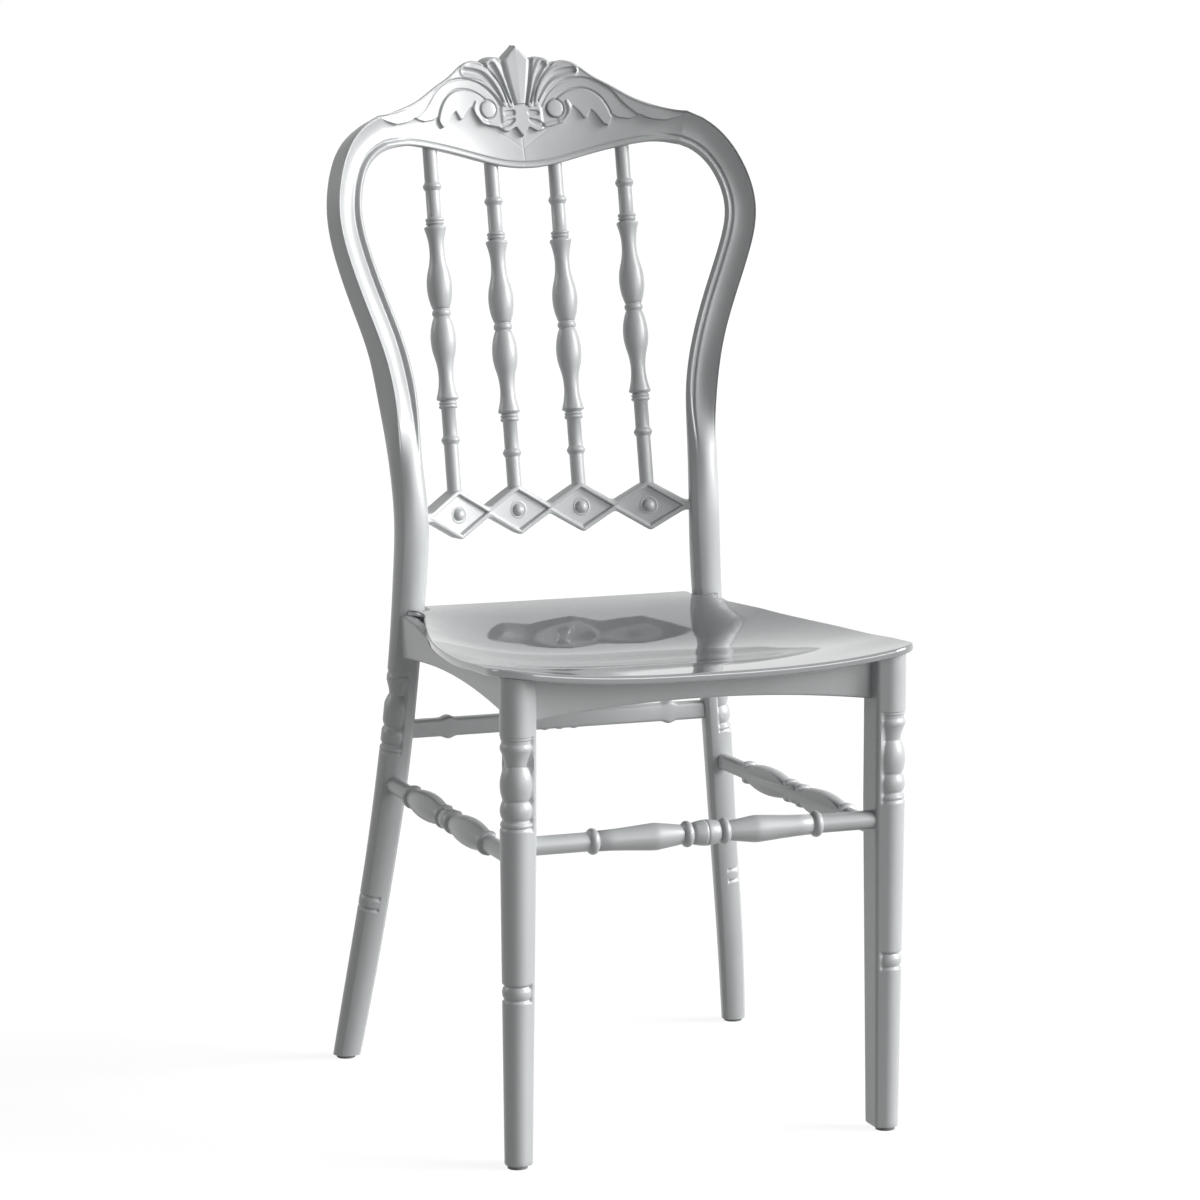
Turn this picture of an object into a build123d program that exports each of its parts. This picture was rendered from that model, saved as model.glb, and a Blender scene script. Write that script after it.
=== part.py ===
import os
from math import asin, cos, degrees, radians, sin, sqrt, tan

from build123d import *

# Wedding chair: hoop back with a carved crest, turned spindles, dished seat and turned legs.
# Millimetres, +Z up. X is the width, the sitter faces -Y, the floor is Z = 0.

# Overall sizes
overall_height = 915.0
hoop_width = 401.0
seat_height = 425.0
seat_front_y = -259.0

# Fits
clearance = 0.2
socket_depth = 9.0
apron_socket = 5.0
seat_gap = 1.0

# Back: a raked surface that is hollow towards the sitter
rake = 12.0
crest_rake = 17.0
back_radius = 320.0
lozenge_z = 500.0
back_y_at_lozenge = 154.5

# Hoop and posts
band_width = 24.6
cove_depth = 4.5
shoulder_drop = 150.0
joint_x = 147.0
joint_drop = 75.0
joint_extra = 3.0
post_x = 141.5
post_y = 124.6
post_width = 27.5
post_depth = 27.5
shoulder_depth = 20.8
rear_foot_x = 192.0
rear_foot_y = 171.5
rear_foot_width = 22.0

# Crest
crest_edge_drop = 110.5
crest_edge_rise = 21.0
crest_field_drop = 48.0
crest_thickness = 20.0
crest_front = 9.0
crest_cove = 3.0
leaf_front = 11.0
leaf_thickness = 16.0
leaf_base_z = 830.0
carving_depth = 3.0
fleur_rise = 2.5
volute_radius = 9.5
volute_rise = 2.0
crest_tenon_width = 14.0
crest_tenon_thickness = 6.0

# Spindles and the rail of diamonds
spindle_pitch = 62.0
spindle_diameter = 13.0
spindle_bulb = 23.0
spindle_shoulder = 20.0
spindle_waist = 13.7
spindle_neck = 15.0
spindle_ring = 17.0
spindle_bulb_at = 26.0
spindle_waist_at = 54.0
spindle_shoulder_at = 77.0
spindle_ring_at = 83.0
spindle_far_ring_at = 115.0
spindle_ring_half = 3.0
spindle_socket = 6.0
spindle_tenon = 6.0
spindle_tenon_length = 10.0
inner_pattern_z = 662.6
outer_pattern_z = 677.7
lozenge_height = 45.0
lozenge_length = 75.4
lozenge_rim = 4.6
lozenge_depth = 15.0
lozenge_recess = 3.0
lozenge_round = 4.0
lozenge_boss = 11.5
lozenge_boss_sink = 1.5
lozenge_seat = 4.0
rail_tenon_height = 6.0
rail_tenon_depth = 8.0
rail_tenon_root = 3.0

# Front legs
front_leg_x = 168.0
front_leg_y = -226.0
leg_radius = 14.0
front_foot_radius = 11.0
leg_inner_reach = 15.0
leg_back_reach = 22.0
leg_corner = 4.0
leg_top_drop = 15.0

# Turned beads, shared by all four legs
bead_top_z = 366.0
bead_band = 80.0
ring_z = 150.0
ring_band = 17.0
turned_arc = 190.0
front_turn_start = -140.0
rear_turn_start = -105.0
bead_relief = 0.2

# Seat
seat_half_width = 191.0
seat_rear_y = 134.0
seat_rim = 9.0
seat_wall = 4.0
seat_rim_wall = 6.0
seat_dish = 27.0
seat_round = 2.5
seat_corner = 34.0
seat_front_bow = 9.0
seat_side_x = 174.0
seat_side_y = -22.0
seat_ear = 10.0
seat_waist_drop = 30.0
boss_diameter = 18.0

# Aprons
apron_thickness = 12.0
apron_drop = 50.0
apron_arch = 11.0
apron_top_drop = 18.0
apron_top_dip = 4.5
rail_top_drop = 23.0
rail_top_dip = 3.0
front_apron_y = -217.0
rear_apron_set = 5.0
side_apron_front_x = 162.0
side_apron_rear_x = 148.0

# Stretchers
stretcher_diameter = 16.0
stretcher_bulge = 22.5
stretcher_collar = 22.0
stretcher_collar_x = 101.0
stretcher_bulge_x = 45.0
stretcher_ring_x = 16.7
stretcher_bead_half = 4.0
front_stretcher_z = 272.0
front_stretcher_y = -225.0
side_stretcher_z = 260.0
side_stretcher_diameter = 15.0
side_barrel = 25.0
side_collar = 21.5
side_ring_at = 13.0
side_collar_at = 104.0
side_flat = 6.0
rear_stretcher_z = 309.0
rear_stretcher_height = 16.5
rear_stretcher_thickness = 12.0
rear_stretcher_set = 3.0
rear_bump_radius = 3.0
rear_bumps_at = (12.0, 66.0, 76.0)

# Hidden hardware
bracket_reach = 54.0
bracket_height = 16.0
bracket_lift = 8.0
bracket_wall = 4.0
bracket_corner = 12.0
seat_screw_share = 0.36
flange_screw_share = 0.72
screw_diameter = 4.0
screw_length = 11.0
screw_point = 1.5
screw_head = 8.0
screw_head_height = 2.5
glide_diameter = 17.0
glide_height = 3.0
glide_stem = 6.0
glide_stem_length = 10.0

os.makedirs("parts", exist_ok=True)

# Derived places
shoulder_z = overall_height - shoulder_drop
shoulder_x = hoop_width / 2 - 9.5
joint_z = overall_height - joint_drop
crest_edge_z = overall_height - crest_edge_drop
crest_field_z = overall_height - crest_field_drop
crest_centre = crest_thickness / 2 - crest_front
leg_half = post_width / 2
post_half_depth = post_depth / 2
foot_half = rear_foot_width / 2
band_half = band_width / 2
shoulder_half = shoulder_depth / 2
spindle_xs = [(i - 1.5) * spindle_pitch for i in range(4)]
spindle_names = ["outer_left", "inner_left", "inner_right", "outer_right"]
up_back = Vector(0, sin(radians(rake)), cos(radians(rake)))


def back_y(z):
    return back_y_at_lozenge + tan(radians(rake)) * (z - lozenge_z)


def plan_drop(x):
    return back_radius - sqrt(back_radius**2 - x**2)


def back_point(x, z, depth=0.0):
    return Vector(x, back_y(z) - plan_drop(x) + depth, z)


def plan_turn(x):
    return degrees(asin(x / back_radius))


def crest_low(x):
    # The lower edge of the crest rises from its middle towards the shoulders.
    return crest_edge_z + crest_edge_rise * sin(radians(90 * min(abs(x) / 116.0, 1.0))) ** 2


def bow(start, end, rise):
    # Arc from start to end that rises to the right of the direction of travel.
    start, end = Vector(start), Vector(end)
    along = (end - start).normalized()
    middle = (start + end) * 0.5 + Vector(along.Y, -along.X) * rise
    return ThreePointArc(start, middle, end)


def keep_between(front, back, lean, base_z):
    # Cuts the part down to a curved plate that lies between two depths behind the back surface.
    reach = joint_x + 30.0
    height = 3 * crest_edge_drop
    y = back_y(base_z)
    drop = plan_drop(reach)
    with BuildSketch(Plane.XY.offset(base_z - height * cos(radians(lean)))) as plate:
        with BuildLine():
            shift = -height * sin(radians(lean))
            near, far = y + shift + front, y + shift + back
            ThreePointArc((-reach, near - drop), (0, near), (reach, near - drop))
            Line((reach, near - drop), (reach, far - drop))
            ThreePointArc((reach, far - drop), (0, far), (-reach, far - drop))
            Line((-reach, far - drop), (-reach, near - drop))
        make_face()
    direction = (0, sin(radians(lean)), cos(radians(lean)))
    extrude(plate.sketch, amount=2 * height, dir=direction, mode=Mode.INTERSECT)


# The line of the frame: one post and half the crest, from the floor to the middle of the back.
# Each station: centre, half width, half depth, section style, turn in plan.
knee_z = bead_top_z - bead_band - 11.0
post_stations = [
    (Vector(rear_foot_x + 2, rear_foot_y + 2.5, -15), foot_half, foot_half + 0.5, "leg", 12),
    (Vector(rear_foot_x - 11, rear_foot_y - 17, 90), foot_half + 1.5, foot_half + 1.8, "leg", 10),
    (Vector(rear_foot_x - 24, rear_foot_y - 31, 190), leg_half - 0.8, leg_half - 0.6, "leg", 8),
    (Vector(post_x + 17, post_y + 6.5, knee_z), leg_half, leg_half, "leg", 6),
    (Vector(post_x + 8, post_y + 2.4, bead_top_z), leg_half, leg_half, "leg", 4),
    (Vector(post_x + 2, post_y + 0.4, lozenge_z - 60), leg_half, post_half_depth, "upright", 4),
    (Vector(post_x, post_y, lozenge_z), leg_half, post_half_depth, "upright", 8),
    (Vector(post_x + 2, post_y + 10, lozenge_z + 56), leg_half - 0.6, post_half_depth, "upright", 14),
    (Vector(post_x + 6, post_y + 16.5, lozenge_z + 106), band_half, post_half_depth - 0.4, "hoop", 20),
    (Vector(post_x + 14.5, post_y + 21.4, shoulder_z - 115), band_half, post_half_depth - 1.2, "hoop", 20),
    (Vector(shoulder_x - 21.5, post_y + 26, shoulder_z - 75), band_half, post_half_depth - 2, "hoop", 20),
    (Vector(shoulder_x - 7.5, post_y + 27.5, shoulder_z - 35), band_half, shoulder_half + 0.8, "hoop", 20),
    (Vector(shoulder_x, post_y + 30.5, shoulder_z), band_half, shoulder_half, "hoop", 21),
    (Vector(shoulder_x - 6, post_y + 43.5, shoulder_z + 38), band_half, shoulder_half - 0.4, "hoop", 24),
    (Vector(shoulder_x - 20, post_y + 56, joint_z - 14), band_half + 1.0, shoulder_half - 0.4, "hoop", 26),
]
joint_station = (
    back_point(joint_x, joint_z, crest_centre),
    band_half + joint_extra,
    crest_thickness / 2,
    "hoop",
    plan_turn(joint_x),
)
post_stations.append(joint_station)
crest_stations = [joint_station]
for x, sink in ((118.0, 11.0), (84.0, 4.0), (42.0, 0.0), (0.0, 0.0)):
    low, high = crest_low(x), crest_field_z - sink
    half_width = (high - low) / 2 / cos(radians(rake))
    centre = back_point(x, (low + high) / 2, crest_centre)
    crest_stations.append((centre, half_width, crest_thickness / 2, "crest", plan_turn(x)))

frame_line = Spline(*[station[0] for station in post_stations + crest_stations[1:]])


def station_plane(station):
    centre, turn = station[0], radians(station[4])
    along = frame_line.tangent_at(frame_line.param_at_point(centre))
    lean = tan(radians(rake)) if centre.Z > lozenge_z else 0.0
    depth = Vector(sin(turn), cos(turn), -lean * cos(turn))
    return Plane(origin=centre, x_dir=depth.cross(along), z_dir=along)


def mirrored(plane):
    # The same section on the other side, with the line still running the same way.
    centre, across, along = plane.origin, plane.x_dir, plane.z_dir
    return Plane(
        origin=(-centre.X, centre.Y, centre.Z),
        x_dir=(-across.X, across.Y, across.Z),
        z_dir=(along.X, -along.Y, -along.Z),
    )


# Section corners as shares of half width and half depth: outer front, lip, inner front, inner back,
# outer back. The rises of the front, inner, back and outer sides are in millimetres.
section_corners = {
    "leg": ((0.80, -0.66), (-0.66, -0.95), (-0.93, -0.72), (-0.88, 0.45), (0.45, 0.90)),
    "upright": ((0.80, -0.70), (-0.55, -0.93), (-0.90, -0.60), (-0.80, 0.58), (0.55, 0.85)),
    "hoop": ((1.00, -0.95), (-0.66, -0.88), (-1.00, -0.74), (-0.90, 0.45), (0.60, 0.95)),
    "crest": ((1.00, -0.90), (-0.84, -0.97), (-1.00, -0.90), (-1.00, 0.80), (0.80, 0.80)),
}
section_rises = {
    "leg": (2.0, 0.9, 3.8, 4.6),
    "upright": (2.8, 1.8, 2.8, 4.2),
    "hoop": (-cove_depth, 0.8, 1.2, 1.2),
    "crest": (-crest_cove, 0.8, 0.8, 0.8),
}


def frame_section(station):
    # Draws the closed section of the frame at one station.
    half_width, half_depth, style = station[1], station[2], station[3]
    outer, lip, inner, inner_back, outer_back = [
        (u * half_width, v * half_depth) for u, v in section_corners[style]
    ]
    front_rise, inner_rise, back_rise, outer_rise = section_rises[style]
    bow(lip, outer, front_rise)
    bow(outer, outer_back, outer_rise)
    bow(outer_back, inner_back, back_rise)
    bow(inner_back, inner, inner_rise)
    Line(inner, lip)


def bead_profile(radius):
    # The waste turned off a leg between its top line and its shoulder, as radius and height.
    outside = radius + 12.0
    full = radius - bead_relief
    Polyline((outside, 0), (full, 0), (radius - 0.9, -3), (radius - 0.9, -7))
    ThreePointArc((radius - 0.9, -7), (full, -10), (radius - 0.9, -13))
    ThreePointArc((radius - 0.9, -13), (radius - 2.6, -17.5), (radius - 4.2, -25))
    ThreePointArc((radius - 4.2, -25), (full, -39.5), (radius - 2.1, -53))
    Line((radius - 2.1, -53), (radius - 2.1, -55))
    ThreePointArc((radius - 2.1, -55), (full, -61.5), (radius - 1.8, -69))
    Line((radius - 1.8, -69), (radius - 1.8, -72))
    ThreePointArc((radius - 1.8, -72), (radius - 0.7, -75), (full, -bead_band))
    Polyline((full, -bead_band), (outside, -bead_band), (outside, 0))


def ring_profile(radius):
    # The waste on both sides of the single low ring.
    half = ring_band / 2
    outside = radius + 12.0
    full = radius - bead_relief
    Polyline((outside, half), (full, half), (radius - 1.8, half - 3))
    ThreePointArc((radius - 1.8, half - 3), (full, 0), (radius - 1.8, 3 - half))
    Polyline((radius - 1.8, 3 - half), (full, -half), (outside, -half), (outside, half))


def turning_plane(origin, along, start):
    # Plane through a turned leg's axis, with its X pointing out at the start angle.
    out = Vector(cos(radians(start)), sin(radians(start)), 0)
    out = (out - along * out.dot(along)).normalized()
    return Plane(origin=origin, x_dir=out, z_dir=out.cross(along))


# Places shared by the rails under the seat and the pieces that take their ends
apron_low = seat_height - apron_drop
apron_high = seat_height - apron_top_drop
apron_height = apron_high - apron_low
apron_middle_z = (apron_high + apron_low) / 2
rail_high = seat_height - rail_top_drop
rail_height = rail_high - apron_low
rail_middle_z = (rail_high + apron_low) / 2
rear_apron_y = post_y - rear_apron_set
rear_stretcher_y = post_y + rear_stretcher_set
leg_inner_x = front_leg_x - leg_inner_reach
leg_back_y = front_leg_y + leg_back_reach
front_apron_half = leg_inner_x + apron_socket
side_front = Vector(side_apron_front_x, leg_back_y - apron_socket, 0)
side_rear = Vector(side_apron_rear_x, post_y - leg_half + apron_socket + 2.0, 0)
side_along = (side_rear - side_front).normalized()
side_length = (side_rear - side_front).length
side_plane = Plane(origin=side_front, x_dir=side_along, z_dir=side_along.cross(Vector(0, 0, 1)))
rear_apron_half = post_x + 6.0 - leg_half + apron_socket
rear_stretcher_half = post_x + 13.5 - leg_half + apron_socket
side_bar_front = Vector(front_leg_x - 2.0, leg_back_y - apron_socket, side_stretcher_z)
side_bar_rear = Vector(post_x + 18.5, post_y + 8.5 - leg_half + apron_socket, side_stretcher_z)
side_bar_along = (side_bar_rear - side_bar_front).normalized()
side_bar_length = (side_bar_rear - side_bar_front).length
rail_end_x = post_x - leg_half - 0.4
rail_tenon_x = post_x - leg_half + socket_depth

leg_top, leg_knee = post_stations[4][0], post_stations[3][0]
leg_along = (leg_top - leg_knee).normalized()
ring_low, ring_high = post_stations[1][0], post_stations[2][0]
ring_along = (ring_high - ring_low).normalized()
ring_centre = ring_low + (ring_high - ring_low) * ((ring_z - ring_low.Z) / (ring_high.Z - ring_low.Z))
foot_along = (ring_low - post_stations[0][0]).normalized()
rear_glide = ring_low + foot_along * ((glide_height - ring_low.Z) / foot_along.Z)
joint_plane = station_plane(joint_station)


def save(part, name):
    part.part.label = name
    export_step(part.part, f"parts/{name}.step")


# Rear posts: leg, upright and hoop shoulder in one bar
with BuildPart() as rear_post_right:
    for station in post_stations:
        with BuildSketch(station_plane(station)):
            with BuildLine():
                frame_section(station)
            make_face()
    loft()
    split(bisect_by=Plane.XY.offset(glide_height), keep=Keep.TOP)
    with BuildSketch(turning_plane(leg_top, leg_along, rear_turn_start)):
        with BuildLine():
            bead_profile(leg_half)
        make_face()
    revolve(axis=Axis(leg_top, leg_along), revolution_arc=turned_arc, mode=Mode.SUBTRACT)
    with BuildSketch(turning_plane(ring_centre, ring_along, rear_turn_start)):
        with BuildLine():
            ring_profile(foot_half + 2.2)
        make_face()
    revolve(axis=Axis(ring_centre, ring_along), revolution_arc=turned_arc, mode=Mode.SUBTRACT)
    # Socket for the tenon of the crest
    with BuildSketch(joint_plane):
        Rectangle(crest_tenon_width + 2 * clearance, crest_tenon_thickness + 2 * clearance)
    extrude(amount=-socket_depth - clearance, mode=Mode.SUBTRACT)
    # Sockets for the rail of diamonds, the rear apron and the rear stretcher
    with BuildSketch(Plane.YZ.offset(rail_tenon_x + clearance)):
        with Locations((back_point(rail_end_x, lozenge_z).Y, lozenge_z)):
            Rectangle(rail_tenon_depth + 2 * clearance, rail_tenon_height + 2 * clearance)
    extrude(amount=-post_width, mode=Mode.SUBTRACT)
    with BuildSketch(Plane.YZ.offset(rear_apron_half + clearance)):
        with Locations((rear_apron_y, rail_middle_z)):
            Rectangle(apron_thickness + 2 * clearance, rail_height + 2 * clearance)
    extrude(amount=-post_width, mode=Mode.SUBTRACT)
    with BuildSketch(Plane.YZ.offset(rear_stretcher_half + clearance)):
        with Locations((rear_stretcher_y, rear_stretcher_z)):
            Rectangle(rear_stretcher_thickness + 2 * clearance, rear_stretcher_height + 2 * clearance)
    extrude(amount=-post_width, mode=Mode.SUBTRACT)
    # Sockets for the side apron and the side stretcher
    with BuildSketch(Plane(side_rear + side_along * clearance, (0, 0, 1), -side_along)):
        with Locations((rail_middle_z, 0)):
            Rectangle(rail_height + 2 * clearance, apron_thickness + 2 * clearance)
    extrude(amount=post_width, mode=Mode.SUBTRACT)
    with BuildSketch(Plane(side_bar_rear + side_bar_along * clearance, (0, 0, 1), -side_bar_along)):
        Circle(side_stretcher_diameter / 2 + clearance)
    extrude(amount=post_width, mode=Mode.SUBTRACT)
    # Hole for the glide
    with BuildSketch(Plane.XY.offset(glide_height)):
        with Locations((rear_glide.X, rear_glide.Y)):
            Circle(glide_stem / 2 + clearance)
    extrude(amount=glide_stem_length + clearance, mode=Mode.SUBTRACT)

with BuildPart() as rear_post_left:
    mirror(rear_post_right.part, about=Plane.YZ)

save(rear_post_right, "rear_post_right")
save(rear_post_left, "rear_post_left")

# Carved plate of the crest, drawn in front view and bent to the back
leaf_top = [
    (0, 0),
    (13.1, -13.0),
    (23.5, -11.2),
    (34.2, -15.6),
    (47.0, -13.7),
    (61.0, -21.0),
    (84.0, -35.0),
    (110.0, -48.8),
    (133.0, -57.6),
    (joint_x + 3.5, -59.5),
]
leaf_bottom = [
    (joint_x + 3.5, -59.5),
    (111.4, -63.5),
    (86.5, -63.0),
    (82.5, -72.0),
    (67.0, -58.0),
    (61.5, -66.0),
    (50.0, -54.0),
    (31.0, -72.5),
    (12.0, -76.0),
    (0, -82.0),
]


def crest_at(point):
    return Vector(point[0], overall_height + point[1])


# Both ends of the crest, with the crest on the plus side of each plane
crest_ends = [
    Plane(
        (side * joint_plane.origin.X, joint_plane.origin.Y, joint_plane.origin.Z),
        (side * joint_plane.x_dir.X, joint_plane.x_dir.Y, joint_plane.x_dir.Z),
        (side * joint_plane.z_dir.X, joint_plane.z_dir.Y, joint_plane.z_dir.Z),
    )
    for side in (1, -1)
]


with BuildPart() as crest_leaf:
    with BuildSketch(Plane.XZ):
        with BuildLine():
            top = [crest_at(p) for p in leaf_top]
            bottom = [crest_at(p) for p in leaf_bottom]
            bow(top[1], top[0], -1.5)
            bow(top[2], top[1], 1.6)
            bow(top[3], top[2], 1.8)
            bow(top[4], top[3], 1.8)
            bow(top[5], top[4], 1.6)
            Spline(*top[5:], tangents=[(1, -0.75), (1, -0.02)])
            bow(bottom[0], bottom[1], -6.0)
            bow(bottom[1], bottom[2], -2.6)
            bow(bottom[2], bottom[3], 1.0)
            bow(bottom[3], bottom[4], 2.0)
            bow(bottom[4], bottom[5], 1.0)
            bow(bottom[5], bottom[6], 1.5)
            bow(bottom[6], bottom[7], -7.0)
            bow(bottom[7], bottom[8], -2.0)
            bow(bottom[8], bottom[9], 1.0)
            Line(bottom[9], top[0])
        make_face()
    extrude(amount=back_radius, both=True)
    mirror(about=Plane.YZ)
    keep_between(-leaf_front, leaf_thickness - leaf_front, crest_rake, leaf_base_z)
    for end in crest_ends:
        split(bisect_by=end, keep=Keep.TOP)

# Scoops of the carving: two shell lobes and one long leaf hollow on each side
scoop_outlines = [
    ((10.6, -50.0), (17.0, -29.0), (27.5, -16.0), (21.0, -15.0), (14.2, -30.0)),
    ((17.0, -50.0), (31.0, -29.0), (57.0, -22.5), (46.0, -17.5), (27.0, -25.0)),
    ((24.5, -46.0), (55.0, -35.0), (104.0, -61.0), (85.0, -40.0), (48.0, -30.5)),
]
with BuildPart() as crest_scoops:
    with BuildSketch(Plane.XZ):
        for start, low, end, high, high_start in scoop_outlines:
            with BuildLine():
                ThreePointArc(crest_at(start), crest_at(low), crest_at(end))
                Spline(crest_at(end), crest_at(high), crest_at(high_start), crest_at(start))
            make_face()
    extrude(amount=back_radius, both=True)
    mirror(about=Plane.YZ)
    keep_between(-2 * leaf_thickness, carving_depth - leaf_front, crest_rake, leaf_base_z)

# Pointed leaf in the middle of the carving
with BuildPart() as crest_fleur:
    with BuildSketch(Plane.XZ):
        with BuildLine():
            tip, wing, root = crest_at((0, 0)), crest_at((11.5, -14.0)), crest_at((3.8, -52.0))
            bow(wing, tip, -1.5)
            bow(root, wing, 2.5)
            Line(root, crest_at((0, -52.0)))
            Line(crest_at((0, -52.0)), tip)
        make_face()
    extrude(amount=back_radius, both=True)
    mirror(about=Plane.YZ)
    keep_between(-leaf_front - fleur_rise, -1.0, crest_rake, leaf_base_z)


def leaf_surface_point(x, z, depth):
    y = back_y(leaf_base_z) + tan(radians(crest_rake)) * (z - leaf_base_z)
    return Vector(x, y - plan_drop(x) + depth, z)


# Crest rail
with BuildPart() as crest_rail:
    for station in crest_stations:
        with BuildSketch(station_plane(station)):
            with BuildLine():
                frame_section(station)
            make_face()
    for station in reversed(crest_stations[:-1]):
        with BuildSketch(mirrored(station_plane(station))):
            with BuildLine():
                frame_section(station)
            make_face()
    loft()
    add(crest_leaf.part)
    add(crest_scoops.part, mode=Mode.SUBTRACT)
    add(crest_fleur.part)
    # Round buttons of the volutes
    for side in (-1, 1):
        button = leaf_surface_point(side * 33.0, overall_height - 56.8, 0.0)
        with BuildSketch(Plane(button, (1, 0, 0), (0, -1, 0))):
            Circle(volute_radius)
        extrude(amount=leaf_front + volute_rise)
    # Tenons into the posts
    for end in crest_ends:
        with BuildSketch(end):
            Rectangle(crest_tenon_width, crest_tenon_thickness)
        extrude(amount=-socket_depth)
    # Bores for the spindles
    for x in spindle_xs:
        bore_end = back_point(x, crest_low(x) + spindle_socket + clearance)
        with BuildSketch(Plane(bore_end, (1, 0, 0), -up_back)):
            Circle(spindle_diameter / 2 + clearance)
        extrude(amount=3 * spindle_socket, mode=Mode.SUBTRACT)
save(crest_rail, "crest_rail")


def spindle_half_outline(way, end):
    # One half of the turned pattern, from the middle ring to the plain end.
    plain = spindle_diameter / 2
    shoulder = (spindle_shoulder / 2, way * spindle_shoulder_at)
    turn_over = ((spindle_bulb + spindle_waist) / 4, way * (spindle_bulb_at + spindle_waist_at) / 2)
    ThreePointArc(
        (spindle_neck / 2, way * spindle_ring_half),
        (spindle_bulb / 2, way * spindle_bulb_at),
        turn_over,
    )
    ThreePointArc(turn_over, (spindle_waist / 2, way * spindle_waist_at), shoulder)
    Line(shoulder, (plain, way * (spindle_ring_at - spindle_ring_half)))
    between = spindle_far_ring_at - spindle_ring_half
    for place, following in ((spindle_ring_at, between), (spindle_far_ring_at, end)):
        leave = (plain, way * (place + spindle_ring_half))
        ThreePointArc(
            (plain, way * (place - spindle_ring_half)),
            (spindle_ring / 2, way * place),
            leave,
        )
        Line(leave, (plain, way * following))


# Spindles: one turned pattern, with plain ends cut to length
for name, x in zip(spindle_names, spindle_xs):
    pattern_z = outer_pattern_z if name.startswith("outer") else inner_pattern_z
    seat_z = lozenge_z + lozenge_height / 2 - lozenge_seat
    up = (crest_low(x) + spindle_socket - pattern_z) / up_back.Z
    down = (pattern_z - seat_z) / up_back.Z
    with BuildPart() as spindle:
        with BuildSketch(Plane(back_point(x, pattern_z), (1, 0, 0), (0, -up_back.Z, up_back.Y))):
            with BuildLine():
                ThreePointArc(
                    (spindle_neck / 2, -spindle_ring_half),
                    (spindle_ring / 2, 0),
                    (spindle_neck / 2, spindle_ring_half),
                )
                spindle_half_outline(1, up)
                spindle_half_outline(-1, down)
                Polyline(
                    (spindle_diameter / 2, up),
                    (0, up),
                    (0, -down - spindle_tenon_length),
                    (spindle_tenon / 2, -down - spindle_tenon_length),
                    (spindle_tenon / 2, -down),
                    (spindle_diameter / 2, -down),
                )
            make_face()
        revolve(axis=Axis(back_point(x, pattern_z), up_back))
    save(spindle, f"spindle_{name}")

# Rail of four diamonds with a recess and a round boss in each
recess_share = 1 - lozenge_rim / (
    lozenge_length * lozenge_height / 2 / sqrt(lozenge_length**2 + lozenge_height**2)
)


def diamond(length, height):
    Polygon((-length / 2, 0), (0, -height / 2), (length / 2, 0), (0, height / 2))


def recess_plane(x):
    # Flat floor of one diamond's recess, along the back at that place and facing the front.
    turn = radians(plan_turn(x))
    across = Vector(cos(turn), -sin(turn), 0)
    floor = back_point(x, lozenge_z, lozenge_recess - lozenge_depth / 2)
    return Plane(floor, across, across.cross(up_back))


with BuildPart() as lozenge_rail:
    with BuildSketch(Plane.XZ) as rail_sketch:
        with Locations(*[(x, lozenge_z) for x in spindle_xs]):
            diamond(lozenge_length, lozenge_height)
        with Locations((0, lozenge_z)):
            Rectangle(2 * rail_end_x, 2 * lozenge_height, mode=Mode.INTERSECT)
        points = rail_sketch.vertices().filter_by_position(Axis.X, 1 - rail_end_x, rail_end_x - 1)
        fillet(points, lozenge_round)
    extrude(amount=back_radius, both=True)
    keep_between(-lozenge_depth / 2, lozenge_depth / 2, rake, lozenge_z)
    for x in spindle_xs:
        with BuildSketch(recess_plane(x)) as recess_sketch:
            diamond(recess_share * lozenge_length, recess_share * lozenge_height)
            fillet(recess_sketch.vertices(), lozenge_round / 2)
        extrude(amount=lozenge_depth, mode=Mode.SUBTRACT)
        with Locations(back_point(x, lozenge_z, lozenge_recess + lozenge_boss_sink - lozenge_depth / 2)):
            Sphere(lozenge_boss / 2, rotation=(90, 0, 0))
    # Seats and bores for the spindles
    for x in spindle_xs:
        seat = back_point(x, lozenge_z + lozenge_height / 2 - lozenge_seat)
        with BuildSketch(Plane(seat, (1, 0, 0), up_back)):
            Circle(spindle_diameter / 2 + 2 * lozenge_seat)
        extrude(amount=2 * lozenge_seat, mode=Mode.SUBTRACT)
        with BuildSketch(Plane(seat, (1, 0, 0), -up_back)):
            Circle(spindle_tenon / 2 + clearance)
        extrude(amount=spindle_tenon_length + clearance, mode=Mode.SUBTRACT)
    # Tenons into the posts
    for side in (-1, 1):
        with BuildSketch(Plane.YZ.offset(side * (rail_end_x - rail_tenon_root))):
            with Locations((back_point(rail_end_x, lozenge_z).Y, lozenge_z)):
                Rectangle(rail_tenon_depth, rail_tenon_height)
        extrude(amount=side * (rail_tenon_x - rail_end_x + rail_tenon_root))
save(lozenge_rail, "lozenge_rail")

# Seat: a dished panel with a rim that turns down
# Each station: place along Y, drop of the middle, drop of the edge.
dish_stations = [
    (seat_front_y - 15.0, 0.16 * seat_dish, -6.0),
    (seat_front_y + 37.0, 0.60 * seat_dish, -0.5),
    (seat_front_y + 128.0, 0.90 * seat_dish, 11.0),
    (seat_front_y + 219.0, 1.00 * seat_dish, 13.5),
    (seat_rear_y - 85.0, 0.78 * seat_dish, 8.5),
    (seat_rear_y + 25.0, 0.30 * seat_dish, 4.0),
]


def seat_section(middle_drop, edge_drop, upper, lower):
    # Closed slice of the seat between two depths under its top face.
    edge = seat_height - edge_drop
    middle = seat_height - middle_drop
    reach = seat_half_width + 8.0
    ThreePointArc((-reach, edge - upper), (0, middle - upper), (reach, edge - upper))
    Line((reach, edge - upper), (reach, edge - lower))
    ThreePointArc((reach, edge - lower), (0, middle - lower), (-reach, edge - lower))
    Line((-reach, edge - lower), (-reach, edge - upper))


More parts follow.
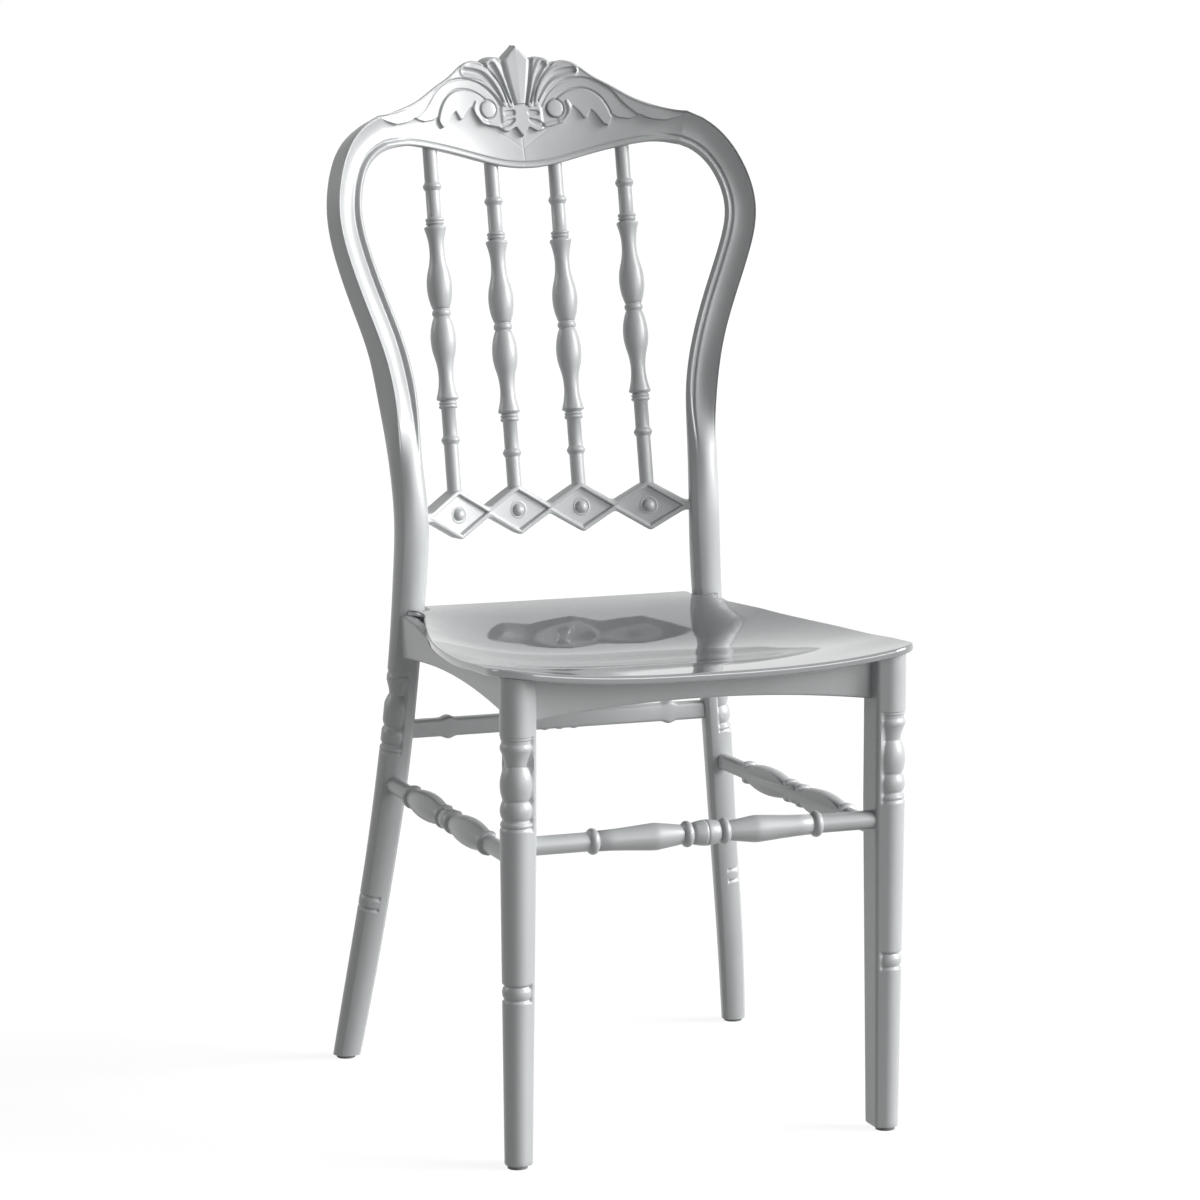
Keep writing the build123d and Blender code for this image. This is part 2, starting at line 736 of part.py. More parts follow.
def seat_plane(y):
    return Plane((0, y, 0), (1, 0, 0), (0, -1, 0))


def seat_outline(inset):
    # Right half of the seat in plan, drawn in from its edge by the inset.
    front_y = seat_front_y + inset
    rear_y = seat_rear_y - inset
    half_width = seat_half_width - inset
    ear_y = post_y - post_half_depth - seat_gap - inset
    notch_x = post_x + 2.0 - leg_half - seat_gap - inset
    front = Vector(seat_half_width - seat_corner, front_y + seat_front_bow)
    corner = Vector(half_width, seat_front_y + seat_front_bow + seat_corner)
    widest = Vector(half_width, corner.Y + seat_corner + seat_front_bow)
    side = Vector(seat_side_x - inset, seat_side_y)
    waist = Vector(post_x + 3.5 - inset, ear_y - seat_waist_drop)
    ear = Vector(post_x + seat_ear - inset, ear_y)
    bow((0, front_y), front, 1.6)
    bow(front, corner, 0.29 * (seat_corner - inset))
    Spline(corner, widest, side, waist, tangents=[(0, 1), (-0.55, 1)])
    Spline(waist, ear, tangents=[(-0.55, 1), (1, 0.4)])
    Polyline(ear, (notch_x, ear_y), (notch_x, rear_y), (0, rear_y), (0, front_y))


with BuildPart() as seat_hollow:
    for y, middle_drop, edge_drop in dish_stations:
        with BuildSketch(seat_plane(y)):
            with BuildLine():
                seat_section(middle_drop, edge_drop, seat_wall, 3 * seat_rim)
            make_face()
    loft()
    with BuildSketch():
        with BuildLine():
            seat_outline(seat_rim_wall)
        make_face()
        mirror(about=Plane.YZ)
    extrude(amount=2 * seat_height, mode=Mode.INTERSECT)

front_face_y = front_apron_y + apron_thickness / 2 + clearance
rear_face_y = rear_apron_y - apron_thickness / 2 - clearance
inner_shift = side_along.cross(Vector(0, 0, 1)) * -(apron_thickness / 2 + clearance)
side_inner = side_front + inner_shift


def side_inner_at(y):
    return side_inner + side_along * ((y - side_inner.Y) / side_along.Y)


# Each bracket: the corner where the rails' inner faces meet, and the ways along both rails.
bracket_top = apron_low + bracket_lift + bracket_height
bracket_corners = {
    "front": (side_inner_at(front_face_y), Vector(-1, 0, 0), side_along),
    "rear": (side_inner_at(rear_face_y), Vector(-1, 0, 0), -side_along),
}


def screw_spot(place, side):
    # Where the seat screw of one bracket stands.
    corner, across, along = bracket_corners[place]
    spot = corner + (across + along) * (seat_screw_share * bracket_reach)
    return Vector(side * spot.X, spot.Y, bracket_top)


seat_spots = [screw_spot(place, side) for place in ("front", "rear") for side in (-1, 1)]

# Bosses that fill the hollow from the brackets up to the seat
with BuildPart() as seat_bosses:
    with BuildSketch(Plane.XY.offset(bracket_top)):
        with Locations(*[(spot.X, spot.Y) for spot in seat_spots]):
            Circle(boss_diameter / 2)
    extrude(amount=3 * seat_rim)
    add(seat_hollow.part, mode=Mode.INTERSECT)

with BuildPart() as seat_panel:
    for y, middle_drop, edge_drop in dish_stations:
        with BuildSketch(seat_plane(y)):
            with BuildLine():
                seat_section(middle_drop, edge_drop, 0.0, seat_rim)
            make_face()
    loft()
    with BuildSketch():
        with BuildLine():
            seat_outline(0.0)
        make_face()
        mirror(about=Plane.YZ)
    extrude(amount=2 * seat_height, mode=Mode.INTERSECT)
    broad_faces = seat_panel.faces().sort_by(SortBy.AREA)[-2:]
    fillet(broad_faces.sort_by(Axis.Z)[-1].edges(), seat_round)
    add(seat_hollow.part, mode=Mode.SUBTRACT)
    add(seat_bosses.part)
    with BuildSketch(Plane.XY.offset(bracket_top)):
        with Locations(*[(spot.X, spot.Y) for spot in seat_spots]):
            Circle(screw_diameter / 2 + clearance)
    extrude(amount=screw_length - bracket_wall + clearance, mode=Mode.SUBTRACT)
save(seat_panel, "seat_panel")

# Room under the seat and inside its rim, for the tops of the front legs
with BuildPart() as leg_room:
    for y, middle_drop, edge_drop in dish_stations:
        with BuildSketch(seat_plane(y)):
            with BuildLine():
                seat_section(middle_drop, edge_drop, seat_wall + clearance, 3 * seat_rim)
            make_face()
    loft()
    with BuildSketch():
        with BuildLine():
            seat_outline(seat_rim_wall + clearance)
        make_face()
        mirror(about=Plane.YZ)
    extrude(amount=2 * seat_height, mode=Mode.INTERSECT)

# Front legs: turned on the outer front, square towards the rails
with BuildPart() as front_leg_right:
    shoulder_level = bead_top_z - bead_band
    for level, radius in ((glide_height, front_foot_radius), (shoulder_level, leg_radius)):
        share = radius / leg_radius
        with BuildSketch(Plane.XY.offset(level)):
            with Locations((front_leg_x, front_leg_y)):
                Circle(radius)
                with Locations(
                    (share * (leg_corner - leg_inner_reach), share * (leg_back_reach - leg_corner)),
                    (share * (leg_corner - leg_inner_reach), -share * 6.0),
                ):
                    Circle(share * leg_corner)
            make_hull()
    loft()
    shoulder_face = front_leg_right.faces().sort_by(Axis.Z)[-1]
    extrude(shoulder_face, amount=seat_height - leg_top_drop - shoulder_level)
    # The top of the leg follows the seat
    with BuildPart(mode=Mode.PRIVATE) as leg_cap:
        extrude(front_leg_right.faces().sort_by(Axis.Z)[-1], amount=leg_top_drop)
        add(leg_room.part, mode=Mode.INTERSECT)
    add(leg_cap.part)
    axis_top = Vector(front_leg_x, front_leg_y, bead_top_z)
    with BuildSketch(turning_plane(axis_top, Vector(0, 0, 1), front_turn_start)):
        with BuildLine():
            bead_profile(leg_radius)
        make_face()
    revolve(axis=Axis(axis_top, (0, 0, 1)), revolution_arc=turned_arc, mode=Mode.SUBTRACT)
    axis_ring = Vector(front_leg_x, front_leg_y, ring_z)
    ring_radius = front_foot_radius + (leg_radius - front_foot_radius) * ring_z / shoulder_level
    with BuildSketch(turning_plane(axis_ring, Vector(0, 0, 1), front_turn_start)):
        with BuildLine():
            ring_profile(ring_radius)
        make_face()
    revolve(axis=Axis(axis_ring, (0, 0, 1)), revolution_arc=turned_arc, mode=Mode.SUBTRACT)
    # Sockets for the front apron, side apron and both stretchers
    with BuildSketch(Plane.YZ.offset(front_apron_half + clearance)):
        with Locations((front_apron_y, apron_middle_z)):
            Rectangle(apron_thickness + 2 * clearance, apron_height + 2 * clearance)
    extrude(amount=-leg_inner_reach, mode=Mode.SUBTRACT)
    with BuildSketch(Plane(side_front - side_along * clearance, (0, 0, 1), side_along)):
        with Locations((rail_middle_z, 0)):
            Rectangle(rail_height + 2 * clearance, apron_thickness + 2 * clearance)
    extrude(amount=leg_back_reach, mode=Mode.SUBTRACT)
    with BuildSketch(Plane.YZ.offset(front_apron_half + clearance)):
        with Locations((front_stretcher_y, front_stretcher_z)):
            Circle(stretcher_diameter / 2 + clearance)
    extrude(amount=-leg_inner_reach, mode=Mode.SUBTRACT)
    with BuildSketch(Plane(side_bar_front - side_bar_along * clearance, (0, 0, 1), side_bar_along)):
        Circle(side_stretcher_diameter / 2 + clearance)
    extrude(amount=leg_back_reach, mode=Mode.SUBTRACT)
    with BuildSketch(Plane.XY.offset(glide_height)):
        with Locations((front_leg_x, front_leg_y)):
            Circle(glide_stem / 2 + clearance)
    extrude(amount=glide_stem_length + clearance, mode=Mode.SUBTRACT)

with BuildPart() as front_leg_left:
    mirror(front_leg_right.part, about=Plane.YZ)

save(front_leg_right, "front_leg_right")
save(front_leg_left, "front_leg_left")


def apron_outline(start, end, high, dip):
    # Rail seen from its side: the top dips with the seat and the lower edge is arched.
    bow((start, apron_low), (end, apron_low), -apron_arch)
    Line((end, apron_low), (end, high))
    bow((end, high), (start, high), -dip)
    Line((start, high), (start, apron_low))


def flange_screw(place, which):
    # Foot of one bracket screw on the rail's face, and the way that it points into the rail.
    corner, across, along = bracket_corners[place]
    level = Vector(0, 0, bracket_top - bracket_height / 2)
    if which == "cross":
        into = Vector(0, -1, 0) if place == "front" else Vector(0, 1, 0)
        return corner + across * (flange_screw_share * bracket_reach) + level, into
    return corner + along * (flange_screw_share * bracket_reach) + level, -inner_shift.normalized()


pilot_depth = screw_length - bracket_wall + 2 * clearance

with BuildPart() as front_apron:
    with BuildSketch(Plane.XZ.offset(-front_apron_y)):
        with BuildLine():
            apron_outline(-front_apron_half, front_apron_half, apron_high, apron_top_dip)
        make_face()
    extrude(amount=apron_thickness / 2, both=True)
    foot, into = flange_screw("front", "cross")
    for side in (-1, 1):
        with BuildSketch(Plane((side * foot.X, foot.Y, foot.Z), (1, 0, 0), into)):
            Circle(screw_diameter / 2 + clearance)
        extrude(amount=pilot_depth, mode=Mode.SUBTRACT)
save(front_apron, "front_apron")

with BuildPart() as rear_apron:
    with BuildSketch(Plane.XZ.offset(-rear_apron_y)):
        with BuildLine():
            apron_outline(-rear_apron_half, rear_apron_half, rail_high, rail_top_dip)
        make_face()
    extrude(amount=apron_thickness / 2, both=True)
    foot, into = flange_screw("rear", "cross")
    for side in (-1, 1):
        with BuildSketch(Plane((side * foot.X, foot.Y, foot.Z), (1, 0, 0), into)):
            Circle(screw_diameter / 2 + clearance)
        extrude(amount=pilot_depth, mode=Mode.SUBTRACT)
save(rear_apron, "rear_apron")

with BuildPart() as side_apron_right:
    with BuildSketch(side_plane):
        with BuildLine():
            apron_outline(0, side_length, rail_high, rail_top_dip)
        make_face()
    extrude(amount=apron_thickness / 2, both=True)
    for place in ("front", "rear"):
        foot, into = flange_screw(place, "side")
        with BuildSketch(Plane(foot, (0, 0, 1), into)):
            Circle(screw_diameter / 2 + clearance)
        extrude(amount=pilot_depth, mode=Mode.SUBTRACT)
with BuildPart() as side_apron_left:
    mirror(side_apron_right.part, about=Plane.YZ)
save(side_apron_right, "side_apron_right")
save(side_apron_left, "side_apron_left")

# Front stretcher: collars, two long bulges and a beaded middle
with BuildPart() as front_stretcher:
    with BuildSketch(Plane.XY.offset(front_stretcher_z)):
        with BuildLine():
            y = front_stretcher_y
            plain, collar = stretcher_diameter / 2, stretcher_collar / 2
            bulge_x, ring_x, collar_x = stretcher_bulge_x, stretcher_ring_x, stretcher_collar_x
            half = stretcher_bead_half
            Line((0, y + collar - 1.0), (ring_x - half, y + plain))
            ThreePointArc((ring_x - half, y + plain), (ring_x, y + collar), (ring_x + half, y + plain))
            bulge = (bulge_x, y + stretcher_bulge / 2)
            bow((ring_x + half, y + plain), bulge, -0.8)
            bow(bulge, (collar_x - half, y + plain), -0.8)
            ThreePointArc((collar_x - half, y + plain), (collar_x, y + collar), (collar_x + half, y + plain))
            Polyline((collar_x + half, y + plain), (front_apron_half, y + plain), (front_apron_half, y))
            Polyline((front_apron_half, y), (0, y), (0, y + collar - 1.0))
        make_face()
    revolve(axis=Axis((0, front_stretcher_y, front_stretcher_z), (1, 0, 0)))
    mirror(about=Plane.YZ)
save(front_stretcher, "front_stretcher")

# Side stretchers: turned outside, flat inside
with BuildPart() as side_stretcher_right:
    side_bar_plane = Plane(side_bar_front, side_bar_along, (0, 0, 1))
    middle = side_bar_length / 2
    with BuildSketch(side_bar_plane):
        with BuildLine():
            plain, collar = side_stretcher_diameter / 2, side_collar / 2
            half = stretcher_bead_half
            barrel_at = (side_ring_at + side_collar_at) / 2
            for way in (-1, 1):
                ring_in, ring_out = [middle + way * (side_ring_at + step) for step in (-half, half)]
                end_in, end_out = [middle + way * (side_collar_at + step) for step in (-half, half)]
                Line((middle, collar - 1.0), (ring_in, plain))
                ThreePointArc((ring_in, plain), (middle + way * side_ring_at, collar), (ring_out, plain))
                ThreePointArc((ring_out, plain), (middle + way * barrel_at, side_barrel / 2), (end_in, plain))
                ThreePointArc((end_in, plain), (middle + way * side_collar_at, collar), (end_out, plain))
                Line((end_out, plain), (middle * (1 + way), plain))
            Polyline((0, plain), (0, 0), (2 * middle, 0), (2 * middle, plain))
        make_face()
    revolve(axis=Axis(side_bar_front, side_bar_along))
    inward = Vector(0, 0, 1).cross(side_bar_along)
    split(bisect_by=Plane(side_bar_front + inward * side_flat, side_bar_along, inward), keep=Keep.BOTTOM)
with BuildPart() as side_stretcher_left:
    mirror(side_stretcher_right.part, about=Plane.YZ)
save(side_stretcher_right, "side_stretcher_right")
save(side_stretcher_left, "side_stretcher_left")

# Rear stretcher: a flat bar with small beads on its edges
with BuildPart() as rear_stretcher:
    edge = rear_stretcher_height / 2 - rear_bump_radius / 3
    bump_xs = [side * x for x in rear_bumps_at for side in (-1, 1)] + [0.0]
    with BuildSketch(Plane.XZ.offset(-rear_stretcher_y)):
        with Locations((0, rear_stretcher_z)):
            Rectangle(2 * rear_stretcher_half, rear_stretcher_height)
        with Locations(*[(x, rear_stretcher_z + side * edge) for x in bump_xs for side in (-1, 1)]):
            Circle(rear_bump_radius)
    extrude(amount=rear_stretcher_thickness / 2, both=True)
save(rear_stretcher, "rear_stretcher")

# Corner brackets: a gusset under the seat with a flange on each rail
for place in ("front", "rear"):
    corner, across, along = bracket_corners[place]
    with BuildPart() as bracket:
        with BuildSketch(Plane.XY.offset(bracket_top - bracket_wall)):
            with BuildLine():
                Polyline(
                    corner + across * bracket_corner,
                    corner + across * bracket_reach,
                    corner + along * bracket_reach,
                    corner + along * bracket_corner,
                    close=True,
                )
            make_face()
        extrude(amount=bracket_wall)
        with BuildSketch(Plane.XY.offset(bracket_top - bracket_height)):
            for first, second in ((across, along), (along, across)):
                with BuildLine():
                    Polyline(
                        corner + first * bracket_corner,
                        corner + first * bracket_reach,
                        corner + first * bracket_reach + second * bracket_wall,
                        corner + first * bracket_corner + second * bracket_wall,
                        close=True,
                    )
                make_face()
        extrude(amount=bracket_height)
        spot = screw_spot(place, 1)
        with BuildSketch(Plane(spot, (1, 0, 0), (0, 0, -1))):
            Circle(screw_diameter / 2 + clearance)
        extrude(amount=bracket_wall, mode=Mode.SUBTRACT)
        for which in ("cross", "side"):
            foot, into = flange_screw(place, which)
            with BuildSketch(Plane(foot, (0, 0, 1), -into)):
                Circle(screw_diameter / 2 + clearance)
            extrude(amount=2 * bracket_wall, mode=Mode.SUBTRACT)
    with BuildPart() as bracket_mirror:
        mirror(bracket.part, about=Plane.YZ)
    save(bracket, f"corner_bracket_{place}_right")
    save(bracket_mirror, f"corner_bracket_{place}_left")


def screw_outline():
    # Half of a pan-head screw: the head sits on height 0 and the shank runs down.
    shank, head, high = screw_diameter / 2, screw_head / 2, screw_head_height
    Polyline((0, high), (0, -screw_length), (shank, screw_point - screw_length), (shank, 0))
    Polyline((shank, 0), (head, 0), (head, high / 2), (head - high / 2, high), (0, high))


with BuildPart() as bracket_screws:
    for place in ("front", "rear"):
        for which in ("cross", "side"):
            foot, into = flange_screw(place, which)
            head_seat = foot - into * bracket_wall
            with BuildSketch(Plane(head_seat, (0, 0, 1), into.cross(Vector(0, 0, 1)))):
                with BuildLine():
                    screw_outline()
                make_face()
            revolve(axis=Axis(head_seat, into))
    mirror(about=Plane.YZ)
save(bracket_screws, "bracket_screws")

with BuildPart() as seat_screws:
    for spot in seat_spots:
        head_seat = spot - Vector(0, 0, bracket_wall)
        with BuildSketch(Plane(head_seat, (1, 0, 0), (0, 1, 0))):
            with BuildLine():
                screw_outline()
            make_face()
        revolve(axis=Axis(head_seat, (0, 0, 1)))
save(seat_screws, "seat_screws")

# Plug-in glides under the four feet
with BuildPart() as foot_glides:
    glide_spots = []
    for x, y in ((front_leg_x, front_leg_y), (rear_glide.X, rear_glide.Y)):
        glide_spots += [(-x, y), (x, y)]
    with BuildSketch():
        with Locations(*glide_spots):
            Circle(glide_diameter / 2)
    extrude(amount=glide_height)
    with BuildSketch(Plane.XY.offset(glide_height)):
        with Locations(*glide_spots):
            Circle(glide_stem / 2)
    extrude(amount=glide_stem_length)
save(foot_glides, "foot_glides")
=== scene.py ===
import math

import bmesh
import bpy
import numpy as np
from mathutils import Matrix, Vector


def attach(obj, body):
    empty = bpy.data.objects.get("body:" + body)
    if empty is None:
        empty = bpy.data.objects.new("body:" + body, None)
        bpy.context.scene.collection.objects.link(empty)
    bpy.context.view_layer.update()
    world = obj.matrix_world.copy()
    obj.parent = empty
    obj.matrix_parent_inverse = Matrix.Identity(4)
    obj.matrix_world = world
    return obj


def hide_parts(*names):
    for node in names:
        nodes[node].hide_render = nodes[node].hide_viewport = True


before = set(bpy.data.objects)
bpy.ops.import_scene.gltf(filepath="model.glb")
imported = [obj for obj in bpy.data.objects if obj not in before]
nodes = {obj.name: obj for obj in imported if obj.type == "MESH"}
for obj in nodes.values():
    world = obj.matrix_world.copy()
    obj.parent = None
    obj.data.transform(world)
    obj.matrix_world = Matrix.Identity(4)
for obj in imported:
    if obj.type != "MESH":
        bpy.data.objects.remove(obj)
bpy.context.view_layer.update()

mm = 0.001
mergeGap = 0.000002  # points nearer than this become one
scene = bpy.context.scene
scene.view_settings.view_transform = "Standard"
print("frame loaded:", len(nodes), "nodes")

# camera at the photograph's own angle, for a square picture of 1200 pixels
cameraSet = {"place": (-1.355599, -3.524951, 1.017365), "yaw": 20.92, "pitch": 8.74,
             "focal": 4343.99, "pixels": 1200, "sensor": 36}


def makeCamera():
    data = bpy.data.cameras.new("chairCamera")
    data.sensor_width = cameraSet["sensor"]
    data.lens = cameraSet["sensor"] * cameraSet["focal"] / cameraSet["pixels"]
    camera = bpy.data.objects.new("chairCamera", data)
    camera.location = cameraSet["place"]
    camera.rotation_euler = (math.radians(90 - cameraSet["pitch"]), 0, -math.radians(cameraSet["yaw"]))
    scene.collection.objects.link(camera)
    scene.camera = camera


# soft studio: a broad key from the right, weaker lamps from the front and from behind on the left
studio = {
    "key": {"aim": (-0.83, 0.38, -0.41), "power": 4.0, "soft": 38},
    "front": {"aim": (-0.40, 0.90, -0.17), "power": 0.80, "soft": 36},
    "fill": {"aim": (0.80, -0.45, -0.40), "power": 0.40, "soft": 24},
    "room": 0.02,
    "floorRadius": 40,
    "floorTone": 0.22,
    "floorRough": 0.9,
    "floorGlow": 0.90,
}


def makeSun(name, aim, power, soft):
    data = bpy.data.lights.new(name, "SUN")
    data.energy = power
    data.angle = math.radians(soft)
    lamp = bpy.data.objects.new(name, data)
    lamp.rotation_mode = "QUATERNION"
    lamp.rotation_quaternion = Vector(aim).to_track_quat("-Z", "Y")
    scene.collection.objects.link(lamp)


def mathNode(tree, operation, *values):
    # a Math node whose inputs are linked sockets or plain numbers
    node = tree.nodes.new("ShaderNodeMath")
    node.operation = operation
    for socket, value in zip(node.inputs, values):
        if isinstance(value, (int, float)):
            socket.default_value = value
        else:
            tree.links.new(value, socket)
    return node.outputs[0]


def seenRay(tree):
    # 1 for rays from the camera and for mirrored or see-through ones
    path = tree.nodes.new("ShaderNodeLightPath")
    seen = mathNode(tree, "MAXIMUM", path.outputs["Is Camera Ray"], path.outputs["Is Glossy Ray"])
    return mathNode(tree, "MAXIMUM", seen, path.outputs["Is Transmission Ray"])


def makeWorld():
    world = bpy.data.worlds.new("whiteRoom")
    scene.world = world
    world.use_nodes = True
    tree = world.node_tree
    backdrop = tree.nodes["Background"]
    backdrop.inputs["Color"].default_value = (1, 1, 1, 1)
    strength = tree.nodes.new("ShaderNodeMapRange")
    strength.inputs["To Min"].default_value = studio["room"]
    strength.inputs["To Max"].default_value = 1.0
    tree.links.new(seenRay(tree), strength.inputs["Value"])
    tree.links.new(strength.outputs[0], backdrop.inputs["Strength"])


def makeFloor():
    bm = bmesh.new()
    bmesh.ops.create_circle(bm, cap_ends=True, segments=64, radius=studio["floorRadius"])
    mesh = bpy.data.meshes.new("paleFloor")
    bm.to_mesh(mesh)
    bm.free()
    floor = bpy.data.objects.new("paleFloor", mesh)
    scene.collection.objects.link(floor)
    paint = bpy.data.materials.new("paleFloor")
    paint.use_nodes = True
    tree = paint.node_tree
    shader = tree.nodes["Principled BSDF"]
    tone = studio["floorTone"]
    shader.inputs["Base Color"].default_value = (tone, tone, tone, 1)
    shader.inputs["Roughness"].default_value = studio["floorRough"]
    shader.inputs["Specular IOR Level"].default_value = 0.0
    shader.inputs["Emission Color"].default_value = (1, 1, 1, 1)
    glow = mathNode(tree, "MULTIPLY", seenRay(tree), studio["floorGlow"])
    tree.links.new(glow, shader.inputs["Emission Strength"])
    mesh.materials.append(paint)


makeCamera()
makeWorld()
for name in ("key", "front", "fill"):
    makeSun(name + "Light", **studio[name])
makeFloor()
print("camera, light and floor set")

# pearl flow: fine flake sparkle and soft streaks that the moulding leaves
pearlSet = {"flakeScale": 1500, "flakeDetail": 2, "streakScale": 22.0, "streakDetail": 3, "streakBend": 1.2,
            "stretch": (1.0, 1.0, 0.35), "bump": 0.10, "bumpDepth": 0.0006}


def pearlGroup():
    group = bpy.data.node_groups.new("pearlFlow", "ShaderNodeTree")
    for name, value in (("Flake", 0.06), ("Streak", 0.10), ("Streak Scale", pearlSet["streakScale"]), ("Rough", 0.3)):
        socket = group.interface.new_socket(name, in_out="INPUT", socket_type="NodeSocketFloat")
        socket.default_value = value
    group.interface.new_socket("Tint", in_out="INPUT", socket_type="NodeSocketColor")
    for name, kind in (("Color", "Color"), ("Roughness", "Float"), ("Height", "Float")):
        group.interface.new_socket(name, in_out="OUTPUT", socket_type="NodeSocket" + kind)
    new, link = group.nodes.new, group.links.new
    take, put = new("NodeGroupInput"), new("NodeGroupOutput")
    coords = new("ShaderNodeTexCoord")
    flake = new("ShaderNodeTexNoise")
    flake.inputs["Scale"].default_value = pearlSet["flakeScale"]
    flake.inputs["Detail"].default_value = pearlSet["flakeDetail"]
    stretch = new("ShaderNodeMapping")
    stretch.inputs["Scale"].default_value = pearlSet["stretch"]
    streak = new("ShaderNodeTexNoise")
    streak.inputs["Detail"].default_value = pearlSet["streakDetail"]
    streak.inputs["Distortion"].default_value = pearlSet["streakBend"]
    link(coords.outputs["Object"], flake.inputs["Vector"])
    link(coords.outputs["Object"], stretch.inputs["Vector"])
    link(stretch.outputs[0], streak.inputs["Vector"])
    link(take.outputs["Streak Scale"], streak.inputs["Scale"])

    def swing(noise, amount):
        # noise round 0.5 becomes a factor round 1
        off = mathNode(group, "SUBTRACT", noise.outputs["Fac"], 0.5)
        return mathNode(group, "MULTIPLY_ADD", off, take.outputs[amount], 1.0)

    streakFactor = swing(streak, "Streak")
    tint = new("ShaderNodeVectorMath")
    tint.operation = "SCALE"
    link(take.outputs["Tint"], tint.inputs[0])
    link(mathNode(group, "MULTIPLY", swing(flake, "Flake"), streakFactor), tint.inputs["Scale"])
    link(tint.outputs[0], put.inputs["Color"])
    link(mathNode(group, "MULTIPLY", take.outputs["Rough"], streakFactor), put.inputs["Roughness"])
    link(streak.outputs["Fac"], put.inputs["Height"])
    return group


pearlFlow = pearlGroup()
finishes = {
    "frame": {"tint": (0.47, 0.485, 0.49), "metal": 0.0, "rough": 0.44, "ior": 1.8,
              "coat": 0.25, "coatRough": 0.15, "flake": 0.16, "streak": 0.16},
    "crest": {"tint": (0.47, 0.485, 0.49), "metal": 0.0, "rough": 0.44, "ior": 1.8,
              "coat": 0.25, "coatRough": 0.15, "flake": 0.16, "streak": 0.20},
    "seat": {"tint": (0.33, 0.342, 0.348), "metal": 0.42, "rough": 0.05, "ior": 1.5,
             "coat": 0.3, "coatRough": 0.02, "flake": 0.10, "streak": 0.14},
    "bracket": {"tint": (0.34, 0.35, 0.355), "metal": 0.0, "rough": 0.5, "ior": 1.5,
                "coat": 0.0, "coatRough": 0.3, "flake": 0.14, "streak": 0.2},
    "screw": {"tint": (0.55, 0.55, 0.54), "metal": 1.0, "rough": 0.32, "ior": 1.5,
              "coat": 0.0, "coatRough": 0.3, "flake": 0.05, "streak": 0.2},
    "glide": {"tint": (0.20, 0.205, 0.21), "metal": 0.0, "rough": 0.55, "ior": 1.5,
              "coat": 0.0, "coatRough": 0.3, "flake": 0.05, "streak": 0.2},
}


def makeFinish(name, tint, metal, rough, ior, coat, coatRough, flake, streak):
    paint = bpy.data.materials.new(name + "Finish")
    paint.use_nodes = True
    tree = paint.node_tree
    shader = tree.nodes["Principled BSDF"]
    pearl = tree.nodes.new("ShaderNodeGroup")
    pearl.node_tree = pearlFlow
    pearl.inputs["Tint"].default_value = (*tint, 1)
    pearl.inputs["Flake"].default_value = flake
    pearl.inputs["Streak"].default_value = streak
    pearl.inputs["Rough"].default_value = rough
    tree.links.new(pearl.outputs["Color"], shader.inputs["Base Color"])
    tree.links.new(pearl.outputs["Roughness"], shader.inputs["Roughness"])
    shader.inputs["Metallic"].default_value = metal
    shader.inputs["IOR"].default_value = ior
    shader.inputs["Coat Weight"].default_value = coat
    shader.inputs["Coat Roughness"].default_value = coatRough
    bump = tree.nodes.new("ShaderNodeBump")
    bump.inputs["Strength"].default_value = pearlSet["bump"]
    bump.inputs["Distance"].default_value = pearlSet["bumpDepth"]
    tree.links.new(pearl.outputs["Height"], bump.inputs["Height"])
    tree.links.new(bump.outputs[0], shader.inputs["Normal"])
    return paint


paints = {name: makeFinish(name, **values) for name, values in finishes.items()}
slotOf = {"crest_rail": "crest", "seat_panel": "seat", "bracket_screws": "screw",
          "seat_screws": "screw", "foot_glides": "glide"}


def finishOf(node):
    return "bracket" if node.startswith("corner_bracket") else slotOf.get(node, "frame")


for node, piece in nodes.items():
    piece.data.materials.clear()
    piece.data.materials.append(paints[finishOf(node)])
print("finishes on all nodes")


def smoothThrough(knots, values, at):
    # natural cubic through values at rising knots
    knots, values, at = np.asarray(knots, float), np.asarray(values, float), np.asarray(at, float)
    wide = values.reshape(len(knots), -1)
    gap = np.diff(knots)
    table, right = np.eye(len(knots)), np.zeros_like(wide)
    for i in range(1, len(knots) - 1):
        table[i, i - 1:i + 2] = gap[i - 1], 2 * (gap[i - 1] + gap[i]), gap[i]
        right[i] = 6 * ((wide[i + 1] - wide[i]) / gap[i] - (wide[i] - wide[i - 1]) / gap[i - 1])
    bend = np.linalg.solve(table, right)
    i = np.clip(np.searchsorted(knots, at) - 1, 0, len(knots) - 2)
    g, past, left = gap[i][:, None], (at - knots[i])[:, None], (knots[i + 1] - at)[:, None]
    found = (bend[i] * left**3 + bend[i + 1] * past**3) / (6 * g)
    found += (wide[i] / g - bend[i] * g / 6) * left + (wide[i + 1] / g - bend[i + 1] * g / 6) * past
    return found.reshape((len(at),) + values.shape[1:])


def ease(value):
    value = np.clip(value, 0.0, 1.0)
    return value * value * (3 - 2 * value)


